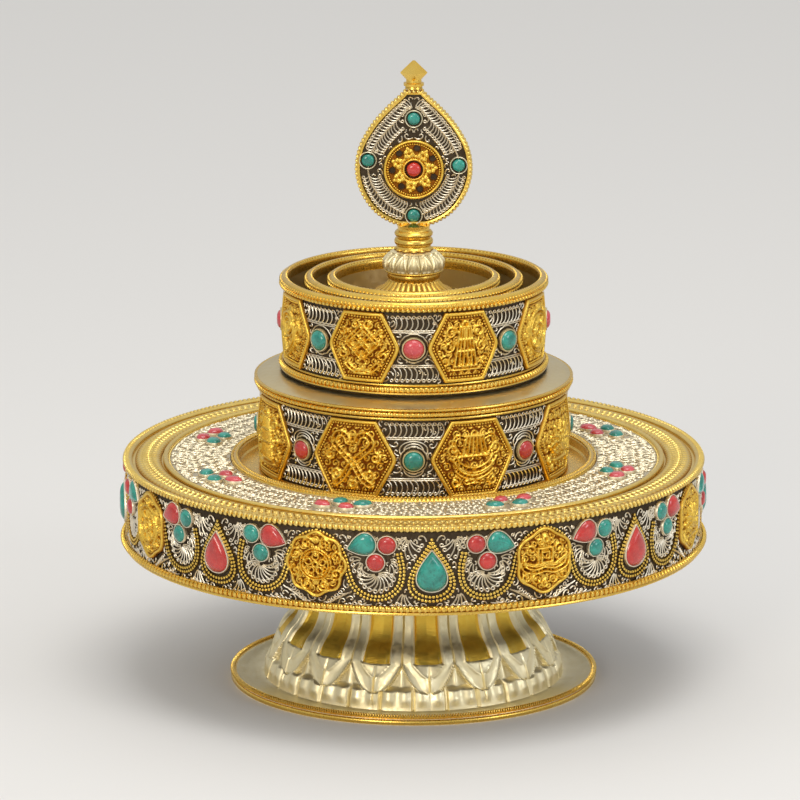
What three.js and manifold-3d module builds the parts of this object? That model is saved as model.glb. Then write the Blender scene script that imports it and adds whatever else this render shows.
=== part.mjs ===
// A mandala offering set in silver and gilt metal: a drum on a lotus foot, an upturned base pan that
// stands in the drum's well, three rings nested on the pan, and a finial in the middle of the rings.
// Millimetres, +Z up, origin on the floor at the foot's axis. The front of the set faces -Y.
import * as THREE from "three";
import { mergeVertices } from "three/addons/utils/BufferGeometryUtils.js";
import Module from "manifold-3d";

const wasm = await Module();
wasm.setup();

// Clearances and sheet thicknesses
const seat = 0.3; // gap that two pieces keep where one rests on the other
const sheet = 1.2; // spun sheet of the drum, the foot, the pan and the rings

// Lotus foot
const footRadius = 88;
const footRimHeight = 2.4;
const footHeight = 67;
const footTopRadius = 61.4;
const neckRadius = 53.2;
const neckHeight = 50;
const dishWidth = 18; // from the petals' lower edge to the rim
const petalSkirtHeight = 4.4;
const petalCount = 16;
const petalTipHeight = 12.8;
const channelEndHeight = 27.4;
const channelDepth = 1.9;
const ridgeHeight = 1.3;
const footWireRadius = 1.3;
const footWireInset = 1.4; // of the wire's middle from the rim's edge

// Drum
const drumHeight = 39.6;
const drumFlange = 4.2;
const drumEdge = 1; // chamfer of the drum's top edge
const drumOpeningRadius = 50;
const lowerWireRadius = 1.7;
const lowerWireInset = 0.4; // of the wire from the flange's edge
const upperWireRadius = 1.7;
const upperWireReach = 0.7; // of the wire's middle beyond the drum's wall
const upperWireRise = 1.3; // of the wire's middle above the drum's top
const emblemCount = 8;
const emblemTurn = 3.5; // degrees that the pattern is turned about the axis
const emblemWidth = 29;
const emblemHeight = 32;
const emblemRise = 3; // of the emblems' middle above the middle of the drum's side
const emblemSheet = 1.4;
const emblemBoss = 2.6; // from the drum's side to the top of the boss
const dropWidth = 13;
const dropHeight = 19;
const dropRise = 1.4;
const dropBezel = 1.5; // width of the bezel round the stone
const dropStoneHeight = 3.2;

// Bands on the drum's top, from the edge inwards
const braidEdge = 3.5; // from the drum's wall to the braid
const braidWidth = 12.5;
const plainWireRadius = 1.3;
const plainWireGap = 0.7; // on each side of the plain wire
const annulusWidth = 28.7;
const bandHeight = 1.6;
const weaveDepth = 0.7; // between the crossings of the braid and the hollows beside them
const annulusHeight = 1.3; // of the plate with the curled wires on it
const topStoneWidth = 9.2;
const topStoneDepth = 6;
const topStoneHeight = 1.5; // above the annulus
const topStones = [[-8.4, 3.2], [-2.6, -4.4], [2.9, 4.3], [8.6, -3.2]]; // sideways and outwards

// Well
const wellClearance = 10.5; // from the pan's wall to the well's
const wellDepth = 4.6;
const wellRimWidth = 4;

// Pan
const panRadius = 72.5;
const panHeight = 48.1;
const panShoulder = 3;
const panWireRadius = 1.3;
const panWireDrop = 6; // of the wire's middle below the pan's top
const panWireReach = 2.1; // of the wire's middle beyond the pan's wall
const panLip = 3.4; // of the ledge under the wire beyond the pan's wall
const panPlaqueWidth = 41.4;
const panPlaqueHeight = 37;
const panPlaqueLift = 20; // from the pan's foot to the middle of its plaques
const panStoneRadius = 4.4;
const panStoneHeight = 3;

// Rings
const ringHeight = 44.4;
const outerRingRadius = 61;
const middleRingRadius = 49.2;
const innerRingRadius = 38.4;
const rimWidth = 4.3;
const rimHeight = 5;
const ringFootWidth = 2.6; // of the outer ring's turned-out foot
const ringFootHeight = 0.9;
const ringPlaqueWidth = 35.2;
const ringPlaqueHeight = 33.4;
const ringPlaqueLift = 22.4; // from the ring's foot to the middle of its plaques
const ringWireRadius = 1.5;
const ringStoneRadius = 4.2;
const ringStoneHeight = 2.4;

// Plaques
const plaqueBase = 0.8;
const plaqueBorder = 1.8;
const plaqueBorderWidth = 2.4;
const plaqueBoss = 0.2; // radius of the boss as a share of the plaque's height

// Finial
const pedestalRadius = 24;
const pedestalNeck = 10.5;
const pedestalHeight = 35.4;
const finialFootRadius = 18.9;
const finialFootHeight = 9.8;
const finialNeck = 11.4;
const bulbRadius = 15.1;
const bulbHeight = 10.2;
const collarRadius = 9.2;
const collarHeight = 11;
const medallionWidth = 56.6;
const medallionLower = 28.6;
const medallionUpper = 37.2;
const medallionThickness = 6;
const medallionBand = 4; // width of the raised band round its edge
const medallionPanel = 3.6; // thickness of the panel in it
const wheelRadius = 14.2;
const wheelThickness = 9;
const wheelRimWidth = 2.6;
const wheelHubRadius = 4;
const wheelSpokeWidth = 2.2;
const wheelSpokes = 7;
const wheelFirstSpoke = 0.07; // radians up from level
const wheelSegments = 8; // of each of its circles, to three.js
const wheelDrop = 1.4; // of the wheel's middle below the medallion's
const medallionStoneRadius = 3.6;
const medallionStones = [[0, 22.6], [-21.6, 2.8], [21.2, 0.6], [0, -23]]; // across and up from the middle
const tipWidth = 12.8;
const tipStem = 3.4;
const tipHeight = 13.4;

// Facets round a full turn, and segments of each curve in a flat outline
const wideTurn = 32;
const smallTurn = 16;
const outlineSegments = 4;

// Radii that follow from the sizes above: the petals end inside the rim, the well fits round the pan, and
// the bands lie round the well
const petalSkirtRadius = footRadius - dishWidth;
const wellRadius = panRadius + wellClearance;
const annulusInner = wellRadius + wellRimWidth + seat;
const annulusOuter = annulusInner + annulusWidth;
const plainWireMiddle = annulusOuter + plainWireGap + plainWireRadius;
const braidInner = plainWireMiddle + plainWireRadius + plainWireGap;
const braidOuter = braidInner + braidWidth;
const drumRadius = braidOuter + braidEdge;

// Heights that follow from the sizes above
const drumBase = footHeight + seat;
const drumTop = drumBase + drumHeight;
const wellFloor = drumTop + seat + bandHeight - wellDepth;
const panBase = wellFloor + seat;
const panTop = panBase + panHeight;
const ringBase = panTop + seat;
const finialFootBase = ringBase + pedestalHeight + seat;
const bulbBase = finialFootBase + finialFootHeight + seat;
const collarBase = bulbBase + bulbHeight + seat;
const medallionBase = collarBase + collarHeight + seat;
const medallionCentre = medallionBase + medallionLower;
const medallionTop = medallionCentre + medallionUpper;
const tipBase = medallionTop + seat;

const gilt = { color: 0xc89a3c, roughness: 0.32, metalness: 1 };
const silver = { color: 0xc9c6bf, roughness: 0.3, metalness: 1 };
const oxidised = { color: 0x8d8980, roughness: 0.5, metalness: 1 };
const turquoise = { color: 0x3f9c92, roughness: 0.35, metalness: 0 };
const coral = { color: 0xb3242b, roughness: 0.35, metalness: 0 };

const set = new THREE.Group();

// A geometry with merged corners, no collapsed triangles, and its faces pointing out
function closed(geometry) {
  const bare = new THREE.BufferGeometry();
  bare.setAttribute("position", geometry.getAttribute("position").clone());
  if (geometry.index) bare.setIndex(geometry.index.clone());
  const merged = mergeVertices(bare, 1e-4);
  const place = merged.getAttribute("position");
  const kept = [];
  let volume = 0;
  const a = new THREE.Vector3();
  const b = new THREE.Vector3();
  const c = new THREE.Vector3();
  for (let i = 0; i < merged.index.count; i += 3) {
    const [p, q, r] = [0, 1, 2].map((k) => merged.index.getX(i + k));
    if (p === q || q === r || r === p) continue;
    kept.push(p, q, r);
    a.fromBufferAttribute(place, p);
    b.fromBufferAttribute(place, q);
    c.fromBufferAttribute(place, r);
    volume += a.dot(b.cross(c));
  }
  if (volume < 0) kept.reverse();
  merged.setIndex(kept);
  return merged;
}

function toSolid(geometry) {
  const body = closed(geometry);
  return new wasm.Manifold(new wasm.Mesh({
    numProp: 3,
    vertProperties: new Float32Array(body.getAttribute("position").array),
    triVerts: new Uint32Array(body.index.array),
  }));
}

function toGeometry(solid) {
  const mesh = solid.getMesh();
  const geometry = new THREE.BufferGeometry();
  geometry.setAttribute("position", new THREE.BufferAttribute(mesh.vertProperties, 3));
  geometry.setIndex(new THREE.BufferAttribute(mesh.triVerts, 1));
  return geometry;
}

function addPiece(name, shape, finish) {
  const geometry = shape.getMesh ? toGeometry(shape) : closed(shape);
  geometry.computeVertexNormals();
  const mesh = new THREE.Mesh(geometry, new THREE.MeshStandardMaterial(finish));
  mesh.name = name;
  set.add(mesh);
}

// A profile of [radius, height] points turned about the Z axis. A profile that doesn't start on the
// axis is joined back to its first point.
function turned(profile, facets = wideTurn) {
  const points = profile.map(([radius, height]) => new THREE.Vector2(radius, height));
  if (profile[0][0] > 0) points.push(points[0].clone());
  return new THREE.LatheGeometry(points, facets).rotateX(Math.PI / 2);
}

function wireRing(radius, wire, height) {
  const sides = 5;
  const profile = [];
  for (let i = 0; i < sides; i += 1) {
    const turn = (i / sides) * 2 * Math.PI;
    profile.push([radius + wire * Math.cos(turn), height + wire * Math.sin(turn)]);
  }
  return turned(profile);
}

// A flat outline pushed outwards from the axis at an angle from the front, as a prism from one
// radius to another
function prism(outline, from, to, angle, height) {
  const settings = { depth: to - from, bevelEnabled: false, curveSegments: outlineSegments };
  const geometry = new THREE.ExtrudeGeometry(outline, settings);
  geometry.rotateX(Math.PI / 2);
  geometry.translate(0, -from, height);
  geometry.rotateZ(THREE.MathUtils.degToRad(angle));
  return toSolid(geometry);
}

// A plate that follows a round wall: the outline's prism cut out of a ring of sheet
function bentPlate(outline, inner, outer, angle, height, reach) {
  const low = height - reach;
  const high = height + reach;
  const band = turned([[inner, low], [outer, low], [outer, high], [inner, high]]);
  return prism(outline, inner - reach / 4, outer + reach / 4, angle, height).intersect(toSolid(band));
}

function hexagon(width, height) {
  const shape = new THREE.Shape();
  const flat = width * 0.27;
  shape.moveTo(-width / 2, 0);
  shape.lineTo(-flat, -height / 2);
  shape.lineTo(flat, -height / 2);
  shape.lineTo(width / 2, 0);
  shape.lineTo(flat, height / 2);
  shape.lineTo(-flat, height / 2);
  return shape;
}

function dropShape(width, height) {
  const shape = new THREE.Shape();
  const round = width / 2;
  const centre = round - height / 2;
  shape.moveTo(0, height / 2);
  shape.quadraticCurveTo(-round, centre + round, -round, centre);
  shape.absarc(0, centre, round, Math.PI, 2 * Math.PI, false);
  shape.quadraticCurveTo(round, centre + round, 0, height / 2);
  return shape;
}

function disc(across, up = across) {
  const shape = new THREE.Shape();
  shape.absellipse(0, 0, across, up, 0, 2 * Math.PI, false, 0);
  return shape;
}

// A hexagonal plaque: a plate with a raised border round a sunk field, and a round boss in the field
function plaque(width, height, radius, angle, centre) {
  const inner = radius + seat;
  const plate = bentPlate(hexagon(width, height), inner, inner + plaqueBorder, angle, centre, height);
  const field = hexagon(width - 2.6 * plaqueBorderWidth, height - 2 * plaqueBorderWidth);
  field.holes.push(disc(height * plaqueBoss));
  const sunk = inner + plaqueBase;
  return plate.subtract(bentPlate(field, sunk, sunk + 2 * plaqueBorder, angle, centre, height));
}

// A closed skin over a loop of rows that runs round the axis at the given turns. place gives the radius
// and the height of a row at a turn's number.
function skin(turns, rowCount, place) {
  const places = [];
  const faces = [];
  turns.forEach((turn, i) => {
    const next = (i + 1) % turns.length;
    for (let j = 0; j < rowCount; j += 1) {
      const [radius, height] = place(i, j);
      places.push(radius * Math.sin(turn), -radius * Math.cos(turn), height);
      const k = (j + 1) % rowCount;
      faces.push(i * rowCount + j, next * rowCount + j, next * rowCount + k);
      faces.push(i * rowCount + j, next * rowCount + k, i * rowCount + k);
    }
  });
  const geometry = new THREE.BufferGeometry();
  geometry.setAttribute("position", new THREE.Float32BufferAttribute(places, 3));
  geometry.setIndex(faces);
  return geometry;
}

// Lotus foot: a trumpet of sixteen petals. Each petal has a groove at each side, two ridges, and between
// them a channel that ends above the petal's tip. A row is a radius, a height, and what the groove, the
// ridge and the channel add to the radius.
function lotusFoot() {
  const groove = -ridgeHeight;
  const upper = [groove, ridgeHeight, -channelDepth];
  const flare = (share) => neckRadius + share * (petalSkirtRadius - neckRadius);
  const plain = [0, 0, 0];
  const outside = [
    [footRadius, 0, plain], [footRadius, footRimHeight, plain],
    [petalSkirtRadius + 0.6, petalSkirtHeight - 0.8, plain], [flare(1), petalSkirtHeight, [groove, 0, 0]],
    [flare(0.89), petalTipHeight, [groove, 0.8, 0.9]],
    [flare(0.68), petalTipHeight + 7.2, [groove, 1.9, 2]],
    [flare(0.51), channelEndHeight - 2, [groove, 1.6, 1.4]], [flare(0.4), channelEndHeight + 1.4, upper],
    [flare(0.14), channelEndHeight + 8.6, upper], [neckRadius, neckHeight, upper],
    [footTopRadius, footHeight, upper],
  ];
  const inside = [
    [footTopRadius - 5.4, footHeight, plain], [neckRadius - 4.6, neckHeight - 4, plain],
    [flare(0.3), petalSkirtHeight + 18, plain], [flare(0.8), petalSkirtHeight - 1.9, plain],
    [footRadius - 6, 0, plain],
  ];
  const loop = [...outside, ...inside];
  const shares = [[-1, 0], [-0.62, 1], [-0.52, 2], [0.52, 2], [0.62, 1]]; // of half a petal, and its form
  const turns = [];
  for (let i = 0; i < petalCount; i += 1) {
    for (const [share] of shares) turns.push(((i + share / 2) / petalCount) * 2 * Math.PI);
  }
  return skin(turns, loop.length, (i, j) => {
    const [radius, height, forms] = loop[j];
    return [radius + forms[shares[i % shares.length][1]], height];
  });
}

addPiece("lotus_foot", lotusFoot(), silver);
const footWireHeight = footRimHeight + 2 * seat + footWireRadius;
addPiece("foot_beaded_wire", wireRing(footRadius - footWireInset, footWireRadius, footWireHeight), gilt);

// Drum shell: a hollow round box, open in the middle below and round the well above
function drumShell() {
  const flange = drumRadius + drumFlange;
  const inner = drumRadius - sheet;
  const opening = wellRadius + sheet + seat;
  return turned([
    [drumOpeningRadius, drumBase], [flange, drumBase], [flange, drumBase + sheet],
    [drumRadius, drumBase + sheet], [drumRadius, drumTop - drumEdge], [drumRadius - drumEdge, drumTop],
    [opening, drumTop], [opening, drumTop - sheet], [inner, drumTop - sheet], [inner, drumBase + sheet],
    [drumOpeningRadius, drumBase + sheet],
  ]);
}

addPiece("drum_shell", drumShell(), oxidised);
const lowerWireMiddle = drumRadius + drumFlange - lowerWireInset - lowerWireRadius;
const lowerWireHeight = drumBase + sheet + seat + lowerWireRadius;
addPiece("drum_lower_beaded_wire", wireRing(lowerWireMiddle, lowerWireRadius, lowerWireHeight), gilt);
const upperWireMiddle = drumRadius + upperWireReach;
addPiece("drum_upper_beaded_wire", wireRing(upperWireMiddle, upperWireRadius, drumTop + upperWireRise), gilt);

function flatBand(inner, outer, base, height) {
  return [[inner, base], [outer, base], [outer, base + height], [inner, base + height]];
}

const bandBase = drumTop + seat;

// A flat ring whose top is woven: it rises and falls by depth from cell to cell, both ways
function wovenBand(inner, outer, height, depth, rows, facets) {
  const lines = rows + 3;
  const turns = [];
  for (let i = 0; i < facets; i += 1) turns.push((i / facets) * 2 * Math.PI);
  return skin(turns, lines, (i, j) => {
    if (j === 0) return [outer, bandBase];
    if (j === lines - 1) return [inner, bandBase];
    const edge = j === 1 || j === lines - 2;
    const radius = outer + ((inner - outer) * (j - 1)) / rows;
    return [radius, bandBase + height - (edge || (i + j) % 2 ? depth : 0)];
  });
}

addPiece("braided_band", wovenBand(braidInner, braidOuter, bandHeight, weaveDepth, 4, 2 * wideTurn), gilt);
addPiece("plain_band_wire", wireRing(plainWireMiddle, plainWireRadius, bandBase + plainWireRadius), gilt);

// Filigree annulus with its stones: four stones in each of eight clusters, each wider at its foot
function filigreeAnnulus() {
  let plate = toSolid(turned(flatBand(annulusInner, annulusOuter, bandBase, annulusHeight)));
  const middle = (annulusInner + annulusOuter) / 2;
  const tall = annulusHeight + topStoneHeight - sheet / 2;
  for (let i = 0; i < emblemCount; i += 1) {
    for (const [sideways, outward] of topStones) {
      const stone = new THREE.CylinderGeometry(0.3, 0.5, tall, 6).rotateX(Math.PI / 2);
      stone.scale(topStoneWidth, topStoneDepth, 1);
      stone.translate(sideways, -(middle + outward), bandBase + sheet / 2 + tall / 2);
      stone.rotateZ(THREE.MathUtils.degToRad(emblemTurn + 22.5 + (i * 360) / emblemCount));
      plate = plate.add(toSolid(stone));
    }
  }
  return plate;
}

addPiece("filigree_annulus", filigreeAnnulus(), silver);

// Well: a shallow dish with a rolled rim that lies on the drum's top
function well() {
  const floor = wellFloor - sheet;
  return turned([
    [0, floor], [wellRadius + sheet, floor], [wellRadius + sheet, drumTop + seat],
    [wellRadius + wellRimWidth, drumTop + seat], [wellRadius + wellRimWidth, drumTop + seat + 1.8],
    [wellRadius + wellRimWidth * 0.6, drumTop + seat + 3], [wellRadius, drumTop + seat + 1.8],
    [wellRadius, wellFloor], [0, wellFloor],
  ]);
}

addPiece("well_dish", well(), gilt);

// The drum's side: an emblem with a boss, and between two emblems a drop-shaped stone in its bezel
const drumMiddle = drumBase + drumHeight / 2;
const onDrum = drumRadius + seat;

function emblem(angle) {
  const height = drumMiddle + emblemRise;
  const plate = disc(emblemWidth / 2, emblemHeight / 2);
  const boss = disc(emblemWidth / 4, emblemHeight / 4);
  return bentPlate(plate, onDrum, onDrum + emblemSheet, angle, height, emblemHeight)
    .add(bentPlate(boss, onDrum, onDrum + emblemBoss, angle, height, emblemHeight));
}

function dropStone(angle) {
  const height = drumMiddle + dropRise;
  const stone = dropShape(dropWidth - 2 * dropBezel, dropHeight - 2 * dropBezel);
  return bentPlate(dropShape(dropWidth, dropHeight), onDrum, onDrum + sheet, angle, height, dropHeight)
    .add(prism(stone, onDrum + sheet / 2, onDrum + dropStoneHeight, angle, height));
}

for (let i = 0; i < emblemCount; i += 1) {
  const angle = emblemTurn + (i * 360) / emblemCount;
  addPiece(`drum_emblem_${i + 1}`, emblem(angle + 180 / emblemCount), gilt);
  addPiece(`drum_drop_stone_${i + 1}`, dropStone(angle), i % 2 ? coral : turquoise);
}

// Base pan: upturned, with a rounded shoulder and a groove for the beaded wire
function panShell() {
  const groove = panWireRadius + seat;
  const ledge = panTop - panWireDrop - groove;
  const lip = panTop - panWireDrop + groove;
  const flat = panRadius - 4 * panShoulder;
  const outside = [
    [panRadius - sheet, panBase], [panRadius, panBase], [panRadius, ledge - 1],
    [panRadius + panLip, ledge - 0.6], [panRadius + panLip, ledge], [panRadius + 0.4, ledge],
    [panRadius + 0.4, lip], [panRadius + 2.8, lip], [panRadius + 2.8, lip + 1.2],
    [panRadius - panShoulder, panTop - 1], [flat, panTop], [0, panTop],
  ];
  const inside = [[0, panTop - sheet], [flat, panTop - sheet], [panRadius - sheet, panTop - 2 * panShoulder]];
  let shell = toSolid(turned([...inside, ...outside]));
  const from = panRadius - sheet / 2;
  const to = panRadius + panStoneHeight;
  for (let i = 0; i < emblemCount; i += 1) {
    const angle = (i * 360) / emblemCount;
    shell = shell.add(prism(disc(panStoneRadius), from, to, angle, panBase + panPlaqueLift));
  }
  return shell;
}

addPiece("pan_shell", panShell(), silver);
addPiece("pan_beaded_wire", wireRing(panRadius + panWireReach, panWireRadius, panTop - panWireDrop), gilt);
for (let i = 0; i < emblemCount; i += 1) {
  const angle = ((i + 0.5) * 360) / emblemCount;
  const body = plaque(panPlaqueWidth, panPlaqueHeight, panRadius, angle, panBase + panPlaqueLift);
  addPiece(`pan_plaque_${i + 1}`, body, gilt);
}

// A ring's wall is a band of sheet. Its rim is a rolled tube of sheet that is slipped over the wall's top
// edge.
const ringWallTop = ringBase + ringHeight - rimHeight - seat;
const ringMiddle = ringBase + ringPlaqueLift;

function plainWall(radius) {
  return turned(flatBand(radius - sheet, radius, ringBase, ringWallTop - ringBase));
}

function ringRim(radius) {
  const base = ringBase + ringHeight - rimHeight;
  const inner = radius - 1.6;
  const outer = inner + rimWidth;
  return turned([
    [inner, base], [outer - 0.8, base], [outer, base + 1.2], [outer - 0.8, base + 3.6],
    [outer - 2, base + rimHeight], [inner, base + rimHeight - 0.8],
  ]);
}

// The outer ring's wall has a turned-out foot, on which its beaded wire lies, and eight round stones
function outerWall() {
  const inner = outerRingRadius - sheet;
  const foot = outerRingRadius + ringFootWidth;
  let wall = toSolid(turned([
    [inner, ringBase], [foot, ringBase], [foot, ringBase + ringFootHeight],
    [outerRingRadius, ringBase + ringFootHeight], [outerRingRadius, ringWallTop], [inner, ringWallTop],
  ]));
  const from = outerRingRadius - sheet / 2;
  const to = outerRingRadius + ringStoneHeight;
  for (let i = 0; i < emblemCount; i += 1) {
    wall = wall.add(prism(disc(ringStoneRadius), from, to, (i * 360) / emblemCount, ringMiddle));
  }
  return wall;
}

addPiece("outer_ring_wall", outerWall(), oxidised);
addPiece("outer_ring_rim", ringRim(outerRingRadius), gilt);
const ringWireHeight = ringBase + ringFootHeight + seat + ringWireRadius;
const ringWireMiddle = outerRingRadius + seat + ringWireRadius;
addPiece("outer_ring_beaded_wire", wireRing(ringWireMiddle, ringWireRadius, ringWireHeight), gilt);
for (let i = 0; i < emblemCount; i += 1) {
  const angle = ((i + 0.5) * 360) / emblemCount;
  const body = plaque(ringPlaqueWidth, ringPlaqueHeight, outerRingRadius, angle, ringMiddle);
  addPiece(`outer_ring_plaque_${i + 1}`, body, gilt);
}
addPiece("middle_ring_wall", plainWall(middleRingRadius), silver);
addPiece("middle_ring_rim", ringRim(middleRingRadius), gilt);
addPiece("inner_ring_wall", plainWall(innerRingRadius), silver);
addPiece("inner_ring_rim", ringRim(innerRingRadius), gilt);

// Finial
const pedestalTop = ringBase + pedestalHeight;
addPiece("finial_pedestal", turned([
  [pedestalRadius - 2, ringBase], [pedestalRadius, ringBase], [pedestalRadius, ringBase + 2],
  [pedestalNeck + 2, ringBase + 10], [pedestalNeck, ringBase + 20], [pedestalNeck + 2.5, pedestalTop],
  [pedestalNeck - 3, pedestalTop], [pedestalNeck - 1.6, ringBase + 20], [pedestalNeck, ringBase + 9],
], smallTurn), silver);

addPiece("finial_foot", turned([
  [0, finialFootBase], [finialFootRadius, finialFootBase], [finialFootRadius, finialFootBase + 1.2],
  [finialNeck + 2, finialFootBase + 4.4], [finialNeck, finialFootBase + finialFootHeight],
  [0, finialFootBase + finialFootHeight],
], smallTurn), gilt);

addPiece("finial_lotus_bulb", turned([
  [0, bulbBase], [finialNeck, bulbBase], [bulbRadius - 0.6, bulbBase + 2.4], [bulbRadius, bulbBase + 4],
  [bulbRadius - 2, bulbBase + 7.4], [collarRadius + 1, bulbBase + bulbHeight], [0, bulbBase + bulbHeight],
], smallTurn), silver);

const collarGroove = collarRadius - 1.4;
addPiece("finial_collar", turned([
  [0, collarBase], [collarRadius, collarBase], [collarRadius, collarBase + 1.6],
  [collarGroove, collarBase + 2.2], [collarRadius, collarBase + 4.2], [collarGroove, collarBase + 6.4],
  [collarRadius, collarBase + 8.8], [collarGroove, collarBase + collarHeight], [0, collarBase + collarHeight],
], smallTurn), gilt);

// The medallion's outline: a leaf with a round foot and a pointed top. Each place on its side is a share
// of half the width, and of the height below the middle or above it.
function medallionOutline(inset) {
  const half = medallionWidth / 2 - inset;
  const lower = medallionLower - inset;
  const upper = medallionUpper - inset;
  const places = [[0.15, -1], [0.51, -0.83], [0.89, -0.43], [1, 0.03], [0.87, 0.36], [0.46, 0.77], [0.15, 1]];
  const right = places.map(([across, up]) => new THREE.Vector2(half * across, (up < 0 ? lower : upper) * up));
  const left = right.map(({ x, y }) => new THREE.Vector2(-x, y)).reverse();
  const shape = new THREE.Shape().moveTo(right[0].x, right[0].y);
  return shape.splineThru(right.slice(1)).lineTo(left[0].x, left[0].y).splineThru(left.slice(1));
}

// A flat shape stood up on the axis, its middle on the finial's middle plane
function upright(outline, thickness, height, curveSegments) {
  const settings = { depth: thickness, bevelEnabled: false, curveSegments };
  const geometry = new THREE.ExtrudeGeometry(outline, settings);
  geometry.translate(0, 0, -thickness / 2);
  geometry.rotateX(Math.PI / 2);
  geometry.translate(0, 0, height);
  return toSolid(geometry);
}

function medallion() {
  const frame = medallionOutline(0);
  frame.holes.push(medallionOutline(medallionBand));
  const body = upright(frame, medallionThickness, medallionCentre, 2);
  const panel = upright(medallionOutline(medallionBand / 2), medallionPanel, medallionCentre, 2);
  const round = disc(wheelRadius + seat);
  const hole = upright(round, 3 * medallionThickness, medallionCentre - wheelDrop, wheelSegments);
  let plate = body.add(panel).subtract(hole);
  const reach = medallionThickness + 2;
  for (const [across, up] of medallionStones) {
    const stone = upright(disc(medallionStoneRadius), reach, medallionCentre + up, outlineSegments);
    plate = plate.add(stone.translate([across, 0, 0]));
  }
  return plate;
}

addPiece("medallion", medallion(), silver);

function wheel() {
  const middle = medallionCentre - wheelDrop;
  const rim = disc(wheelRadius);
  rim.holes.push(disc(wheelRadius - wheelRimWidth));
  const hub = upright(disc(wheelHubRadius), wheelThickness + 2, middle, outlineSegments);
  let body = upright(rim, wheelThickness, middle, wheelSegments).add(hub);
  const reach = wheelRadius - 0.5;
  for (let i = 0; i < wheelSpokes; i += 1) {
    const spoke = new THREE.BoxGeometry(reach, wheelThickness * 0.7, wheelSpokeWidth);
    spoke.translate(reach / 2, 0, 0).rotateY(-wheelFirstSpoke - (i * 2 * Math.PI) / wheelSpokes);
    body = body.add(toSolid(spoke.translate(0, 0, middle)));
  }
  return body;
}

addPiece("dharma_wheel", wheel(), gilt);

addPiece("finial_tip", turned([
  [0, tipBase], [tipStem, tipBase], [tipStem, tipBase + 2.4], [tipWidth / 2, tipBase + 5.2],
  [tipWidth / 2 - 0.6, tipBase + 6.6], [0, tipBase + tipHeight],
], smallTurn), gilt);

export default set;
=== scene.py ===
# %% [markdown]
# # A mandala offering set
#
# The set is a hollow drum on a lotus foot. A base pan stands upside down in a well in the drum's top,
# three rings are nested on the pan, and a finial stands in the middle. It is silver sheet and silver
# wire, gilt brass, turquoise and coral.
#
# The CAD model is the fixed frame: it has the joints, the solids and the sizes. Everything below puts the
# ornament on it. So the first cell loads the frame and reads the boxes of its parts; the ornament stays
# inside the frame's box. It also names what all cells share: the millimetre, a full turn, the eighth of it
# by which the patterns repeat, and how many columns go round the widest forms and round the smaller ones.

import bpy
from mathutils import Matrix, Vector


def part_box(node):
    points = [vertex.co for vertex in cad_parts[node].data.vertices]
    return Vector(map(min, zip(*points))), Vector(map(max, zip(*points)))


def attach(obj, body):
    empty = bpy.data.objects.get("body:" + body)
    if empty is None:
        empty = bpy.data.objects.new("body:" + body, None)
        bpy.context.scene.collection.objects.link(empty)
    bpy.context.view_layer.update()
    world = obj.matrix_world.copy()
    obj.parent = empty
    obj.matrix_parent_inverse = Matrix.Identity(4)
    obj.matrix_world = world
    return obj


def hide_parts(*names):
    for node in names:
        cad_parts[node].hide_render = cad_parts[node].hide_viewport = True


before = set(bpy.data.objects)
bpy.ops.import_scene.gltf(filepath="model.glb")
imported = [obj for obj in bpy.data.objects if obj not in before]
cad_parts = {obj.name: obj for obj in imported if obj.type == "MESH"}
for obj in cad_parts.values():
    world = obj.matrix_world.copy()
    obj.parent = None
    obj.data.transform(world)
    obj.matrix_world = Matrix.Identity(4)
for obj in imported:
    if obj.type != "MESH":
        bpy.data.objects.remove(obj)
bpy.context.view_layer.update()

import bpy
import numpy as np

MM = 0.001
TURN = 2 * np.pi
REPEATS = 8
EIGHTH = TURN / REPEATS
WIDE_STEPS = 256
RING_STEPS = 224


def span(node):
    """The lowest height, the highest height and the outer radius of a CAD node, in millimetres."""
    low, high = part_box(node)
    return low.z / MM, high.z / MM, high.x / MM


# %% [markdown]
# ## The camera
#
# A small thing photographed from three metres with a long lens looks almost flat, and the ellipses of the
# rings give the camera away: the wider an ellipse is for its breadth, the higher the camera. A camera at
# 0.915 m that looks down by 13.7 degrees fits all of them at once, so no ring needs a correction of its
# own.

# %% Camera
camera_data = bpy.data.cameras.new("camera")
camera_data.sensor_width = 36
camera_data.lens = 311.8
camera = bpy.data.objects.new("camera", camera_data)
camera.location = (0, -3.2, 0.915)
camera.rotation_euler = np.radians((90 - 13.687, 0, 0.116))
bpy.context.collection.objects.link(camera)
bpy.context.scene.camera = camera
print("lens", camera_data.lens, "mm")

# %% [markdown]
# ## Colours and nodes
#
# Colours are written as they look on a screen, in sRGB, and one function turns them to the linear light
# that Blender computes with. One more function adds a shader node. A value that is an output socket is
# linked, and any other value is written into the socket, so a material below reads as a list of what it
# is made of.


# %% Colour and node helpers
def linear(code):
    """An sRGB hex value as linear light: c / 12.92 up to 0.04045, and ((c + 0.055) / 1.055) ^ 2.4 above."""
    srgb = np.array([int(code[i : i + 2], 16) for i in (1, 3, 5)]) / 255
    light = np.where(srgb <= 0.04045, srgb / 12.92, ((srgb + 0.055) / 1.055) ** 2.4)
    return (*light.tolist(), 1.0)


def add(tree, kind, sockets, **settings):
    """Adds a node, makes its settings, and links or writes each of its input sockets."""
    node = tree.nodes.new(kind)
    for name, value in settings.items():
        setattr(node, name, value)
    for name, value in sockets.items():
        if isinstance(value, bpy.types.NodeSocket):
            tree.links.new(value, node.inputs[name])
        else:
            node.inputs[name].default_value = value
    return node.outputs


def new_material(name):
    """An empty material with a surface shader; gives the material and its shader node."""
    material = bpy.data.materials.new(name)
    material.use_nodes = True
    return material, material.node_tree.nodes["Principled BSDF"]
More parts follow.
